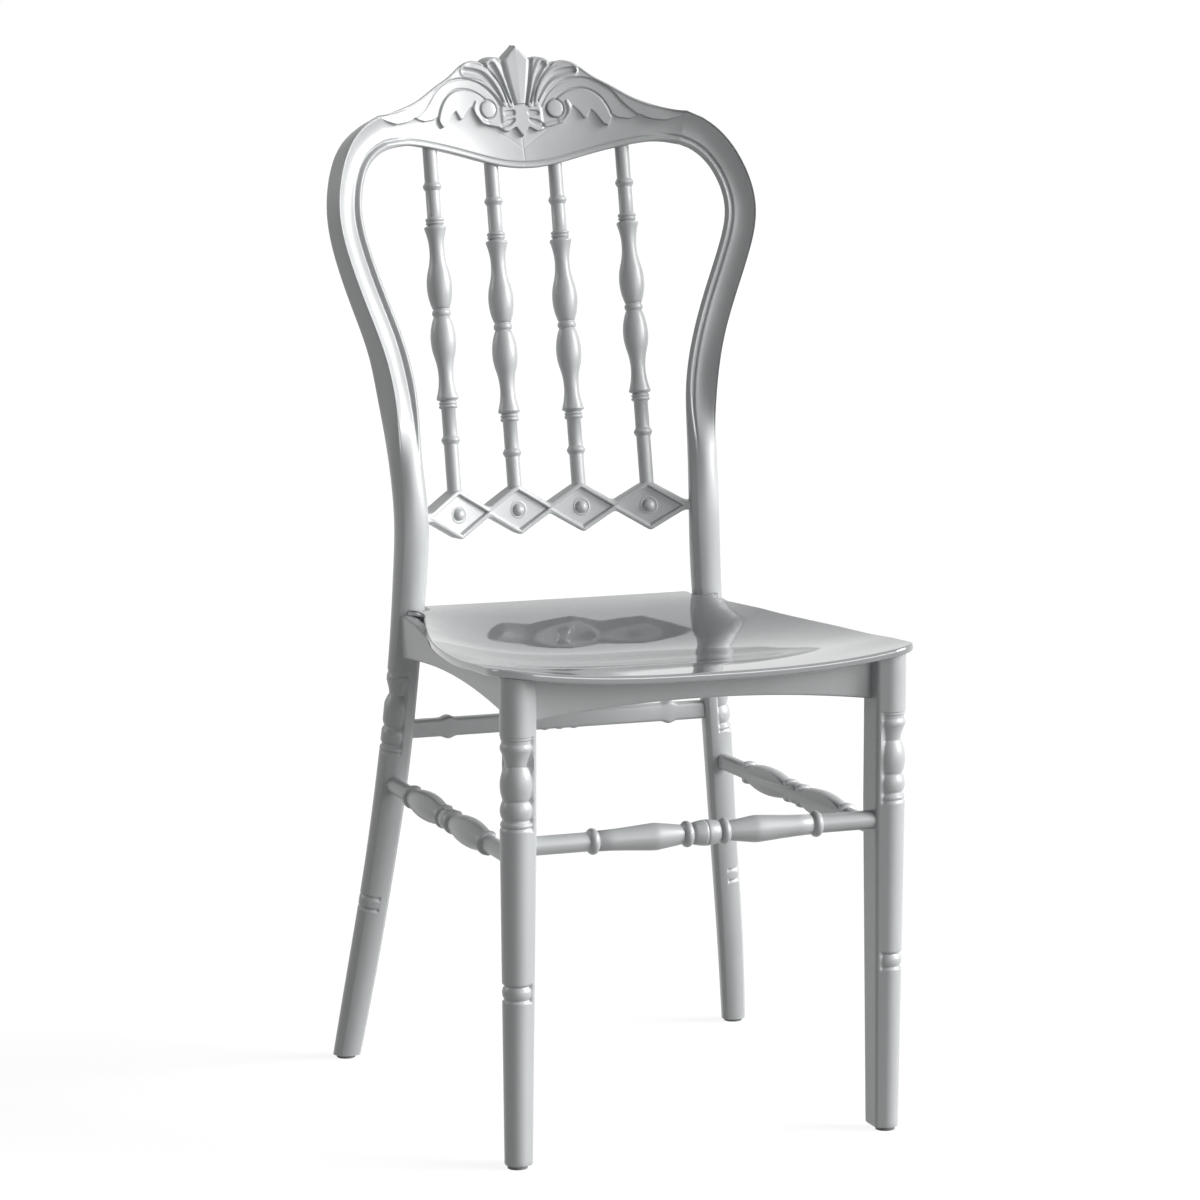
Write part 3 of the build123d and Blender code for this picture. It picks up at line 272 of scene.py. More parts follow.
def arcThrough(first, middle, last, count=9):
    # points on the arc through three points of a plane
    (ax, ay), (bx, by), (cx, cy) = first, middle, last
    d = 2 * (ax * (by - cy) + bx * (cy - ay) + cx * (ay - by))
    ux = ((ax**2 + ay**2) * (by - cy) + (bx**2 + by**2) * (cy - ay) + (cx**2 + cy**2) * (ay - by)) / d
    uy = ((ax**2 + ay**2) * (cx - bx) + (bx**2 + by**2) * (ax - cx) + (cx**2 + cy**2) * (bx - ax)) / d
    start, via, end = [math.atan2(y - uy, x - ux) for x, y in (first, middle, last)]
    turn = (end - start) % (2 * math.pi)
    if (via - start) % (2 * math.pi) > turn:
        turn -= 2 * math.pi
    size = math.hypot(ax - ux, ay - uy)
    angles = [start + turn * i / (count - 1) for i in range(count)]
    return [(ux + size * math.cos(a), uy + size * math.sin(a)) for a in angles]


def runAlong(line):
    # length along a line of points, up to each of them
    return np.concatenate([[0], np.cumsum(np.linalg.norm(np.diff(line, axis=0), axis=1))])


def pointsAt(line, run, at):
    # points at given lengths along a line
    return np.stack([np.interp(at, run, column) for column in line.T], axis=1)


def evenly(line, count):
    run = runAlong(line)
    return pointsAt(line, run, np.linspace(0, run[-1], count))


def softened(ring, axis):
    # eases the corners of a closed ring of points
    for again in range(2):
        ring = 0.25 * np.roll(ring, 1, axis) + 0.5 * ring + 0.25 * np.roll(ring, -1, axis)
    return ring


def looped(ring):
    return np.concatenate([ring, ring[:1]])


def levelsOf(spans):
    # heights of a skin's rows, from spans of start, end and step
    return np.concatenate([np.arange(*span) for span in spans])


def gridSkin(bm, points):
    # a grid whose vertices go to the points, an array of rows, columns and x, y, z in millimetres
    rows, columns = points.shape[:2]
    made = bmesh.ops.create_grid(bm, x_segments=columns - 1, y_segments=rows - 1, size=1)["verts"]
    for v in made:
        v.co = points[round((v.co.y + 1) / 2 * (rows - 1)), round((v.co.x + 1) / 2 * (columns - 1))] * mm


def fillHoles(bm):
    bmesh.ops.holes_fill(bm, edges=[e for e in bm.edges if e.is_boundary], sides=0)


def closeEnds(bm):
    bmesh.ops.remove_doubles(bm, verts=bm.verts, dist=mergeGap)
    fillHoles(bm)


def finishPiece(bm, name, replaced, sharp=38):
    bmesh.ops.remove_doubles(bm, verts=bm.verts, dist=mergeGap)
    bmesh.ops.recalc_face_normals(bm, faces=bm.faces)
    for face in bm.faces:
        face.smooth = True
    for edge in bm.edges:
        if len(edge.link_faces) == 2 and edge.calc_face_angle() > math.radians(sharp):
            edge.smooth = False
    mesh = bpy.data.meshes.new(name)
    bm.to_mesh(mesh)
    bm.free()
    piece = bpy.data.objects.new(name, mesh)
    scene.collection.objects.link(piece)
    finish = finishOf(replaced[0])
    mesh.materials.append(paints[finish])
    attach(piece, "root")
    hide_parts(*replaced)


def skinPiece(name, node, points, sharp=38):
    bm = bmesh.new()
    gridSkin(bm, points)
    closeEnds(bm)
    finishPiece(bm, name, [node], sharp)


# the back leans, and is hollow towards the sitter
leanAngle = math.radians(12)
back = {"lean": math.tan(leanAngle), "crestLean": math.tan(math.radians(17)), "radius": 320.0, "z": 500.0, "y": 154.5}


def backY(z):
    return back["y"] + back["lean"] * (z - back["z"])


def planDrop(x):
    return back["radius"] - np.sqrt(back["radius"]**2 - np.square(x))


# turned bead pattern of all four legs: radius less the leg's own, height below the top line
bead = {
    "topZ": 366.0,
    "band": 80.0,
    "ringZ": 150.0,
    "fade": 9.0,  # degrees over which the pattern runs out at both ends of its arc
    "profile": [(0.3, 0.0), (-0.5, -0.4), (-0.5, -2.6), (-1.3, -3.4), (-1.3, -6.4)]
    + arcThrough((-0.9, -7), (-0.1, -10), (-0.9, -13)) + [(-1.3, -13.6)]
    + arcThrough((-1.3, -14), (-2.6, -17.5), (-4.4, -24.6)) + [(-4.6, -25.0)]
    + arcThrough((-4.0, -25.4), (-0.1, -39.5), (-2.0, -52.6), 17) + [(-2.7, -53.3), (-2.7, -54.5)]
    + arcThrough((-2.0, -55.2), (-0.1, -61.5), (-1.4, -68.8), 11) + [(-2.2, -69.4), (-2.2, -71.2)]
    + arcThrough((-1.6, -71.9), (-0.3, -74), (-1.0, -76.2), 7) + [(-1.3, -76.6)]
    + arcThrough((-0.9, -77), (-0.1, -78.6), (0.3, -80), 5),
    "ring": [(0.3, 8.5), (-0.3, 7.4), (-1.5, 6.4), (-1.8, 5.4)] + arcThrough((-1.2, 4.7), (0.1, 0), (-1.2, -4.7))
    + [(-1.8, -5.4), (-1.5, -6.4), (-0.3, -7.4), (0.3, -8.5)],
}


def turnBand(points, centre, axis, radius, profile, piece):
    # presses the skin in to the turned profile, over the piece's own arc about the leg's axis
    rel = points - centre
    high = rel @ axis
    out = rel - high[..., None] * axis
    far = np.linalg.norm(out, axis=-1)
    past = (np.degrees(np.arctan2(out[..., 1], out[..., 0])) - piece["turnStart"]) % 360.0
    arc, fade = piece["turnArc"], bead["fade"]
    share = ease(past / fade) * ease((arc - past) / fade) * (past < arc)
    table = np.array(profile)[::-1]
    want = radius + np.interp(high, table[:, 1], table[:, 0])
    inside = (high <= table[-1, 1]) & (high >= table[0, 1])
    press = np.where(inside, np.maximum(far - want, 0.0), 0.0) * share
    return points - out / np.maximum(far, 0.001)[..., None] * press[..., None]


# rear leg, upright and hoop in one bar: centre, half width, half depth, section, turn in plan
hoop = {
    "stations": [
        ((194, 174, -15), 11, 11.5, "leg", 12), ((181, 154.5, 90), 12.5, 12.8, "leg", 10),
        ((168, 140.5, 190), 12.95, 13.15, "leg", 8), ((158.5, 131.1, 275), 13.75, 13.75, "leg", 6),
        ((149.5, 127, 366), 13.75, 13.75, "leg", 4), ((143.5, 125, 440), 13.75, 13.75, "upright", 4),
        ((141.5, 124.6, 500), 13.75, 13.75, "upright", 8), ((143.5, 134.6, 556), 13.15, 13.75, "upright", 14),
        ((147.5, 141.1, 606), 12.3, 13.35, "hoop", 20), ((156, 146, 650), 12.3, 12.55, "hoop", 20),
        ((169.5, 150.6, 690), 12.3, 11.75, "hoop", 20), ((183.5, 152.1, 730), 12.3, 11.2, "hoop", 20),
        ((191, 155.1, 765), 12.3, 10.4, "hoop", 21), ((185, 168.1, 803), 12.3, 10.0, "hoop", 24),
        ((171, 180.6, 826), 13.3, 10.0, "bend", 26), ((147, 192.0, 840), 15.3, 10.0, "joint", 27.35),
    ],
    "lead": [(118, 205.4, 840.75), (84, 216.3, 840.5)],  # the line runs on into the crest
    "corners": {
        "leg": ((0.80, -0.66), (-0.66, -0.95), (-0.93, -0.72), (-0.88, 0.45), (0.45, 0.90)),
        "upright": ((0.82, -0.70), (-0.66, -0.93), (-1.02, -0.60), (-0.84, 0.58), (0.72, 0.98)),
        "hoop": ((1.00, -0.95), (-1.02, -0.80), (-1.33, -0.62), (-1.18, 0.45), (0.76, 1.35)),
        "bend": ((1.00, -0.95), (-0.95, -0.81), (-1.24, -0.65), (-1.10, 0.45), (0.73, 1.25)),
        "joint": ((1.00, -0.95), (-0.82, -0.84), (-1.07, -0.70), (-0.95, 0.45), (0.66, 1.02)),
    },
    # bulge of each edge: front, inner side, back, outer side, lip
    "rises": {
        "leg": (2.0, 0.9, 3.8, 4.6, 0.0),
        "upright": (2.8, 1.8, 2.8, 3.0, 0.0),
        "hoop": (-4.5, 0.8, 1.2, 0.2, 0.0),
        "bend": (-4.5, 0.8, 1.2, 0.5, 0.0),
        "joint": (-4.5, 0.8, 1.2, 1.0, 0.0),
    },
    # edges in turn, lip to outer rim, outer side, back, inner side, lip: first corner, last corner, rise
    "edges": ((1, 0, 0), (0, 4, 3), (4, 3, 2), (3, 2, 1), (2, 1, 4)),
    "steps": (72, 16, 16, 16, 8),
    "levels": [(3, 138, 5.0), (138, 162, 0.7), (162, 282, 5.0), (282, 370, 0.55), (370, 500, 5.0), (500, 838, 3.5)],
    "low": 3.0,
    "high": 840.0,
    "leanFrom": (470.0, 530.0),
    "lines": [(0.115, 0.050, 2.6), (0.935, 0.018, 0.8)],  # grooves by the lip and the outer rim: place, width, depth
    "linesFrom": (540.0, 600.0),
    "beadRadius": 13.75,
    "ringRadius": 13.2,
    "turnStart": -105.0,
    "turnArc": 190.0,
}


def makePost(side, name, node):
    stations = hoop["stations"]
    line = np.array([s[0] for s in stations] + hoop["lead"], float)
    knots = runAlong(line)
    own = knots[:len(stations)]
    fine = np.linspace(0, own[-1], 2000)
    levels = np.append(levelsOf(hoop["levels"]), hoop["high"])
    at = np.interp(levels, smoothThrough(knots, line, fine)[:, 2], fine)
    at[-1] = own[-1]
    centre = smoothThrough(knots, line, at)
    along = smoothThrough(knots, line, at + 0.5) - smoothThrough(knots, line, at - 0.5)
    along /= np.linalg.norm(along, axis=1)[:, None]

    def begun(span):
        return ease((centre[:, 2] - span[0]) / (span[1] - span[0]))

    turn = np.radians(smoothThrough(own, [s[4] for s in stations], at))
    lean = back["lean"] * begun(hoop["leanFrom"])
    depth = np.stack([np.sin(turn), np.cos(turn), -lean * np.cos(turn)], axis=1)
    across = np.cross(depth, along)
    across /= np.linalg.norm(across, axis=1)[:, None]
    behind = np.cross(along, across)
    corners = smoothThrough(own, [[(u * s[1], v * s[2]) for u, v in hoop["corners"][s[3]]] for s in stations], at)
    rises = smoothThrough(own, [hoop["rises"][s[3]] for s in stations], at)
    ring = []
    for (a, b, rise), count in zip(hoop["edges"], hoop["steps"]):
        first, way = corners[:, a], corners[:, b] - corners[:, a]
        rightward = np.stack([way[:, 1], -way[:, 0]], axis=1) / np.linalg.norm(way, axis=1)[:, None]
        for s in np.arange(count) / count:
            ring.append(first + way * s + rightward * (rises[:, rise] * 4 * s * (1 - s))[:, None])
    ring = softened(np.stack(ring, axis=1), 1)
    cove = hoop["steps"][0]
    share = np.arange(cove) / cove
    for place, width, deep in hoop["lines"]:
        groove = deep * np.exp(-np.square((share - place) / width))
        ring[:, :cove, 1] += begun(hoop["linesFrom"])[:, None] * groove[None]
    points = centre[:, None] + ring[..., :1] * across[:, None] + ring[..., 1:] * behind[:, None]
    points[0] += along[0] * ((hoop["low"] - points[0, :, 2:]) / along[0, 2])
    # beads over the knee, and a ring lower down
    low, high, knee, top = line[1:5]
    ringAt = low + (high - low) * (bead["ringZ"] - low[2]) / (high[2] - low[2])
    for place, way, radius, profile in ((top, top - knee, hoop["beadRadius"], bead["profile"]),
                                        (ringAt, high - low, hoop["ringRadius"], bead["ring"])):
        points = turnBand(points, place, way / np.linalg.norm(way), radius, profile, hoop)
    lastRing = points[-1].copy()
    points = np.concatenate([points, points[:, :1]], axis=1)
    points[..., 0] *= side
    skinPiece(name, node, points)
    return lastRing


hoopEnd = makePost(1, "hoopPostRight", "rear_post_right")  # the ring that the crest runs into, on the right
makePost(-1, "hoopPostLeft", "rear_post_left")
print("posts made")

# seat: drop of the middle and of the edge at stations along Y, and sizes of its rim
seat = {
    "high": 425.0,
    "reach": 199.0,
    "dish": [
        (-274, 10.0, -7.0), (-259, 11.0, -5.0), (-222, 13.5, 0.2), (-180, 17.2, 2.8), (-150, 21.0, 4.5),
        (-120, 25.5, 4.7), (-80, 30.6, 2.9), (-40, 34.4, -1.0), (0, 35.4, -8.1), (20, 33.4, -12.2),
        (30, 31.0, -13.4), (45, 26.4, -12.8), (60, 21.4, -10.6), (75, 16.4, -6.7), (90, 12.0, -2.8),
        (110, 8.2, 0.4), (134, 5.8, 5.0), (160, 4.6, 5.0),
    ],
    "around": 721,
    "middle": (0.0, 40.0),
    "spread": 61,  # points of the edge that are evened out towards the middle
    "rim": 6.8,
    "wall": 4.0,
    "rimWall": 6.0,
    "round": 2.6,
    "lowRound": 1.5,
    "bosses": [(137.0, -191.2), (130.7, 94.6)],
    "bossLow": 399.0,
    "bossRadius": (8.8, 9.4),
}


def seatTop(x, y):
    table = np.array(seat["dish"], float)
    flat = np.asarray(y, float)
    drops = smoothThrough(table[:, 0], table[:, 1:], flat.ravel()).reshape(flat.shape + (2,))
    return seat["high"] - drops[..., 0] - (drops[..., 1] - drops[..., 0]) * np.abs(np.asarray(x) / seat["reach"])**3


def onSeat(flat, drop):
    # plan points at a drop below the seat's top
    return np.concatenate([flat, (seatTop(flat[:, 0], flat[:, 1]) - drop)[:, None]], axis=1)


def seatPlan(count):
    # edge of the seat, from the middle of the front round to the middle of the front
    half = arcThrough((0, -259), (79, -256.1), (157, -250), 20)
    half += [(157 + 34 * math.sin(a), -216 - 34 * math.cos(a)) for a in np.linspace(0, math.pi / 2, 24)[1:]]
    knots, places = [0, 43, 195, 300], [(191, -216), (191, -173), (174, -22), (145, 79.85)]
    half += [tuple(p) for p in smoothThrough(knots, places, np.linspace(0, 300, 60)[1:])]
    # ear in front of the upright, notch round it, and the straight rear edge
    half += [(141.6, 88.0), (141.2, 95.0), (143.0, 102.0), (147.0, 107.5), (151.0, 109.85)]
    half += [(140, 109.85), (130.3, 109.85), (128.75, 111.4), (128.75, 122), (128.75, 132.0), (127.0, 134.0)]
    half += [(90, 134), (45, 134), (0, 134)]
    return evenly(np.array(half + [(-x, y) for x, y in reversed(half[:-1])]), count)


def makeSeat():
    plan = looped(softened(seatPlan(seat["around"])[:-1], 0))
    middle = np.array(seat["middle"])
    way = looped(np.roll(plan[:-1], -1, axis=0) - np.roll(plan[:-1], 1, axis=0))
    inward = np.stack([-way[:, 1], way[:, 0]], axis=1) / np.linalg.norm(way, axis=1)[:, None]
    inward *= np.sign(np.sum(inward * (middle - plan), axis=1))[:, None]
    rows = []
    # columns are spread evenly towards the middle, so that the ears leave no creases
    inner = plan + inward * seat["round"]
    count, window = len(inner) - 1, np.ones(seat["spread"]) / seat["spread"]
    wide = [np.convolve(np.tile(c, 3), window, "same")[count:2 * count] for c in inner[:-1].T]
    relaxed = looped(np.stack(wide, axis=1))
    for share in np.concatenate([np.linspace(0.002, 0.9, 44), np.linspace(0.91, 1.0, 14)]):
        own = share**6
        rows.append(onSeat(middle + (inner * own + relaxed * (1 - own) - middle) * share, 0.0))
    # rolled rim, then the underside
    r, low = seat["round"], seat["lowRound"]
    for a in np.linspace(0, math.pi / 2, 7)[1:]:
        rows.append(onSeat(plan + inward * r * (1 - math.sin(a)), r * (1 - math.cos(a))))
    for a in np.linspace(0, math.pi / 2, 5):
        rows.append(onSeat(plan + inward * low * (1 - math.cos(a)), seat["rim"] - low + low * math.sin(a)))
    rim, wall = seat["rim"], seat["wall"]
    for further, drop in ((-1.0, rim), (0.0, rim - 0.8), (0.6, wall + 0.8), (1.6, wall)):
        under = plan + inward * (seat["rimWall"] + further)
        rows.append(onSeat(under, drop))
    for share in np.linspace(0.97, 0.002, 24):
        rows.append(onSeat(middle + (under - middle) * share, seat["wall"]))
    bm = bmesh.new()
    gridSkin(bm, np.stack(rows))
    closeEnds(bm)
    # bosses that take the seat screws
    foot, (footRadius, topRadius) = seat["bossLow"], seat["bossRadius"]
    for x, y in seat["bosses"]:
        for side in (-1, 1):
            top = float(seatTop(side * x, y)) - seat["wall"] + 0.5
            place = Matrix.Translation((side * x * mm, y * mm, (top + foot) / 2 * mm))
            bmesh.ops.create_cone(bm, cap_ends=True, segments=32, radius1=footRadius * mm, radius2=topRadius * mm,
                                  depth=(top - foot) * mm, matrix=place)
    finishPiece(bm, "dishedSeat", ["seat_panel"], 50)


makeSeat()
print("seat made")

# front legs: turned on the outer front, square towards the rails
leg = {
    "x": 168.0, "y": -226.0, "low": 3.0, "radius": 14.0, "foot": 11.0,
    "corner": 4.0, "inner": 15.0, "behind": 22.0, "ahead": -6.0, "around": 110,
    "footLevels": [3.0, 3.6, 4.6],
    "levels": [(8, 140, 6.0), (140, 160, 0.6), (160, 284, 6.0), (284, 368, 0.5), (368, 402, 4.0)],
    "turnStart": -140.0, "turnArc": 190.0, "tuck": 0.90,
}


def legSection():
    # tight outline round the shaft and the two square corners
    r, inner = leg["corner"], leg["corner"] - leg["inner"]
    circles = np.array([(0.0, 0.0, leg["radius"]), (inner, leg["behind"] - r, r), (inner, leg["ahead"], r)])
    angle = np.linspace(0, 2 * np.pi, 1441)
    way = np.stack([np.cos(angle), np.sin(angle)], axis=1)
    best = circles[(way @ circles[:, :2].T + circles[:, 2]).argmax(axis=1)]
    return evenly(best[:, :2] + way * best[:, 2:], leg["around"] + 1)


def legRadius(z):
    # tapers from the beads down to the foot
    share = min((z - leg["low"]) / (bead["topZ"] - bead["band"] - leg["low"]), 1.0)
    return leg["foot"] + (leg["radius"] - leg["foot"]) * share


def makeFrontLeg(side, name, node):
    section, middle = legSection(), np.array([leg["x"], leg["y"]])
    rows = []
    for z in np.concatenate([leg["footLevels"], levelsOf(leg["levels"])]):
        radius = legRadius(z) - 0.7 * max(0.0, 1 - (z - leg["low"]) / 1.6)**2  # eased at the foot
        flat = section * (radius / leg["radius"]) + middle
        rows.append(np.concatenate([flat, np.full((len(flat), 1), z)], axis=1))
    # the top steps in past the seat's rim and follows the seat's underside
    tuck = section * leg["tuck"] + middle
    for flat, drop in ((rows[-1][:, :2], seat["rim"] + 0.3), (tuck, seat["rim"] + 0.1), (tuck, seat["wall"] + 0.2)):
        rows.append(onSeat(flat, drop))
    points = np.stack(rows)
    for z, radius, profile in ((bead["topZ"], leg["radius"], bead["profile"]),
                               (bead["ringZ"], legRadius(bead["ringZ"]), bead["ring"])):
        points = turnBand(points, np.array([*middle, z]), np.array([0.0, 0.0, 1.0]), radius, profile, leg)
    points[..., 0] *= side
    skinPiece(name, node, points)


makeFrontLeg(1, "frontLegRight", "front_leg_right")
makeFrontLeg(-1, "frontLegLeft", "front_leg_left")
print("front legs made")

# rails under the seat: node and plan of each, arched low edge, and a top that follows the seat's underside
rail = {
    "places": {
        "frontApron": ("front_apron", (-158, -217), (158, -217)),
        "rearApron": ("rear_apron", (-138.75, 119.6), (138.75, 119.6)),
        "sideApronRight": ("side_apron_right", (162, -209), (148, 117.85)),
        "sideApronLeft": ("side_apron_left", (-162, -209), (-148, 117.85)),
    },
    "low": 375.0,
    "arch": 11.0,
    "room": 0.4,
    "thickness": 12.0,
    "round": 2.2,
    "columns": 61,
}


def railSkin(name, node, start, end, low, high, piece):
    # a bar of rounded section between two plan points; low and high give its edges along the bar
    start, end = np.array(start, float), np.array(end, float)
    way = (end - start) / np.linalg.norm(end - start)
    aside = np.array([-way[1], way[0]])
    corner = [(math.cos(a), math.sin(a)) for a in np.linspace(0, math.pi / 2, 6)]
    edge = piece["round"]
    half = piece["thickness"] / 2 - edge
    rows = []
    for s in np.linspace(0, 1, piece["columns"]):
        flat = start + (end - start) * s
        bottom, top = low(s), high(s)
        ring = [(half + edge * c, top - edge + edge * d) for c, d in corner]
        ring += [(-half - edge * d, top - edge + edge * c) for c, d in corner]
        ring += [(-half - edge * c, bottom + edge - edge * d) for c, d in corner]
        ring += [(half + edge * d, bottom + edge - edge * c) for c, d in corner]
        ring.append(ring[0])
        rows.append([(*(flat + aside * out), z) for out, z in ring])
    skinPiece(name, node, np.array(rows))


def apronLow(s):
    return rail["low"] + rail["arch"] * 4 * s * (1 - s)


def apronHigh(start, end):
    # lowest point of the seat's underside over the rail's thickness
    def high(s):
        x, y = [a + (b - a) * s for a, b in zip(start, end)]
        half = rail["thickness"] / 2
        spots = np.array([(x - half, y - half), (x - half, y + half), (x + half, y - half), (x + half, y + half)])
        return float(np.min(seatTop(spots[:, 0], spots[:, 1]))) - seat["wall"] - rail["room"]
    return high


for name, (node, start, end) in rail["places"].items():
    railSkin(name, node, start, end, apronLow, apronHigh(start, end), rail)

# flat rear stretcher, with low swellings on both edges: distance from the middle, half width, height
rearBar = {"half": 146.25, "y": 127.6, "z": 309.0, "height": 16.5, "thickness": 12.0, "round": 3.4, "columns": 501,
           "swells": [(107.0, 8.5, 2.4), (0.0, 5.0, 0.9), (14.0, 5.0, 0.9)]}


def rearBarHalf(s):
    x = abs((2 * s - 1) * rearBar["half"])
    near = [(math.pi / 2 * (x - at) / wide, high) for at, wide, high in rearBar["swells"] if abs(x - at) < wide]
    return rearBar["height"] / 2 + sum(high * math.cos(turn)**2 for turn, high in near)


railSkin("rearBar", "rear_stretcher", (-rearBar["half"], rearBar["y"]), (rearBar["half"], rearBar["y"]),
         lambda s: rearBar["z"] - rearBarHalf(s), lambda s: rearBar["z"] + rearBarHalf(s), rearBar)
print("rails made")


def bothWays(half):
    # a whole turned profile from its half, which starts in the middle
    return [(r, -h) for r, h in reversed(half)][:-1] + half


def turned(profile, place, steps=48):
    # spins a list of radius and height about the upright axis, then puts it in its place
    bm = bmesh.new()
    chain = [bm.verts.new((r * mm, 0, h * mm)) for r, h in profile]
    edges = [bm.edges.new(pair) for pair in zip(chain, chain[1:])]
    bmesh.ops.spin(bm, geom=chain + edges, cent=(0, 0, 0), axis=(0, 0, 1), dvec=(0, 0, 0),
                   angle=2 * math.pi, steps=steps, use_merge=True)
    bmesh.ops.remove_doubles(bm, verts=bm.verts, dist=mergeGap)
    bmesh.ops.transform(bm, matrix=place, verts=bm.verts)
    return bm


def axisPlace(origin, along):
    # turns the upright axis to a direction and moves it to a point in millimetres
    turn = Vector((0, 0, 1)).rotation_difference(Vector(along))
    return Matrix.Translation(Vector(origin) * mm) @ turn.to_matrix().to_4x4()


def crestLow(x):
    # sagging underside of the crest, which turns down again into the hoop
    knots, highs = np.array([(-20, 806.0), (0, 804.5), (20, 806.0), (40, 810.2), (60, 815.6), (80, 820.6), (100, 824.9),
                             (112, 826.8), (122, 827.5), (133, 826.9), (147, 825.2)]).T
    return smoothThrough(knots, highs, np.atleast_1d(np.abs(x)).ravel()).reshape(np.shape(x))


# spindles: half of the turned pattern from the middle ring outwards, radius and distance
spindle = {
    "half": [(8.5, 0.0), (8.35, 1.2), (7.9, 2.4), (7.1, 3.1), (7.1, 3.6)]
    + arcThrough((7.7, 4.0), (11.5, 26), (9.175, 40), 19) + arcThrough((9.175, 40), (6.85, 54), (10.0, 76.6), 17)[1:]
    + [(10.1, 77.2), (9.7, 78.2), (7.6, 79.2), (6.9, 79.9)] + arcThrough((7.2, 80.3), (8.3, 81.5), (7.4, 82.8), 7)
    + arcThrough((7.5, 83.1), (8.5, 84.7), (7.2, 86.3), 7) + [(6.5, 86.9), (6.5, 111.2), (7.3, 111.8), (7.4, 112.6)]
    + arcThrough((7.5, 112.8), (8.5, 115), (7.5, 117.2), 9) + [(7.4, 117.4), (7.3, 118.2), (6.5, 118.8)],
    "places": {"outer_left": -93.0, "inner_left": -31.0, "inner_right": 31.0, "outer_right": 93.0},
    "patternZ": {"outer": 677.7, "inner": 662.6},
    "seatZ": 518.5,
    "socket": 6.0,
    "plain": 6.5,
}
for side, x in spindle["places"].items():
    lift, plain = math.cos(leanAngle), spindle["plain"]
    middleZ = spindle["patternZ"][side[:5]]
    up = (float(crestLow(x)) + spindle["socket"] - middleZ) / lift
    down = (middleZ - spindle["seatZ"]) / lift
    profile = [(0, -down), (plain, -down)] + bothWays(spindle["half"]) + [(plain, up), (0, up)]
    place = axisPlace((x, backY(middleZ) - float(planDrop(x)), middleZ), (0, math.sin(leanAngle), lift))
    finishPiece(turned(profile, place), "spindle" + side.title().replace("_", ""), ["spindle_" + side], 50)
print("spindles made")

# front stretcher: half of the turned pattern, with a weld line in the middle
frontBar = {
    "half": [(10.7, 0.0)] + arcThrough((11.1, 0.5), (10.5, 6.0), (9.2, 11.4), 7) + [(8.2, 11.9), (8.0, 12.5)]
    + arcThrough((8.7, 12.9), (11.2, 16.7), (8.7, 20.5), 9)
    + [(8.0, 20.9), (8.2, 21.6), (9.0, 26.0), (10.1, 34.0), (11.0, 40.5), (11.5, 44.0), (11.6, 46.5), (11.4, 50.0)]
    + [(10.8, 58.0), (9.9, 70.0), (9.1, 83.0), (8.7, 95.8), (8.1, 96.5)]
    + arcThrough((8.8, 97.2), (11.2, 101), (8.8, 104.8), 9) + [(8.0, 105.3), (8.1, 106.5), (8.1, 158.0), (0, 158.0)],
    "y": -225.0,
    "z": 272.0,
}
place = axisPlace((0, frontBar["y"], frontBar["z"]), (1, 0, 0))
finishPiece(turned(bothWays(frontBar["half"]), place), "frontBar", ["front_stretcher"], 50)

# side stretchers: the same, cut flat towards the middle of the chair
sideBar = {
    "half": [(9.75, 0.0), (9.6, 3.0), (8.9, 7.0), (7.6, 8.2), (7.3, 8.8)]
    + arcThrough((8.1, 9.2), (10.75, 13), (8.1, 16.8), 9) + [(7.3, 17.2), (7.4, 17.8)]
    + arcThrough((8.0, 18.2), (12.5, 58.5), (8.0, 99.0), 21) + [(7.3, 99.4), (7.3, 100.0)]
    + arcThrough((8.1, 100.3), (10.75, 104), (8.1, 107.7), 9) + [(7.4, 108.2), (7.5, 109.0)],
    "plain": 7.5,
    "front": (166.0, -209.0),
    "rear": (160.0, 124.35),
    "z": 260.0,
    "flat": 6.0,
}
for side, word in ((1, "Right"), (-1, "Left")):
    front, rear = [Vector((side * x, y, sideBar["z"])) for x, y in (sideBar["front"], sideBar["rear"])]
    along, reach = (rear - front).normalized(), (rear - front).length / 2
    ends = [(sideBar["plain"], reach), (0, reach)]
    bm = turned(bothWays(sideBar["half"] + ends), axisPlace((front + rear) / 2, along))
    inward = along.cross(Vector((0, 0, 1))) * -side
    bmesh.ops.bisect_plane(bm, geom=bm.verts[:] + bm.edges[:] + bm.faces[:], dist=0.0000001,
                           plane_co=(front + inward * sideBar["flat"]) * mm, plane_no=inward, clear_outer=True)
    fillHoles(bm)
    finishPiece(bm, "sideBar" + word, ["side_stretcher_" + word.lower()], 50)
print("stretchers made")


def plateSkin(name, node, front, behind, sharp=50):
    # a closed plate from front rows, low edge first, and back rows, top edge first
    skinPiece(name, node, np.concatenate([front, behind, front[:, :1]], axis=1), sharp)


def onBack(x, z, depth):
    # points at a depth behind the middle surface of the hollow, leaning back
    turn = np.arcsin(x / back["radius"])
    return np.stack([x + depth * np.sin(turn), backY(z) - planDrop(x) + depth * np.cos(turn), z], axis=-1)


# rail of four diamonds, each with a sunk field and a round boss
lozenge = {
    "pitch": 62.0, "length": 75.4, "height": 45.0, "rim": 4.5, "depth": 15.0, "recess": 3.0,
    "boss": 5.75, "sink": 1.5, "groove": 7.1, "end": 130.0, "neck": 4.0, "soft": 1.3,
    "columns": 521, "rows": 64, "spread": 5, "backRound": [1.2, 0.1, 0, 0, 0, 0, 0, 0.1, 1.2],
}


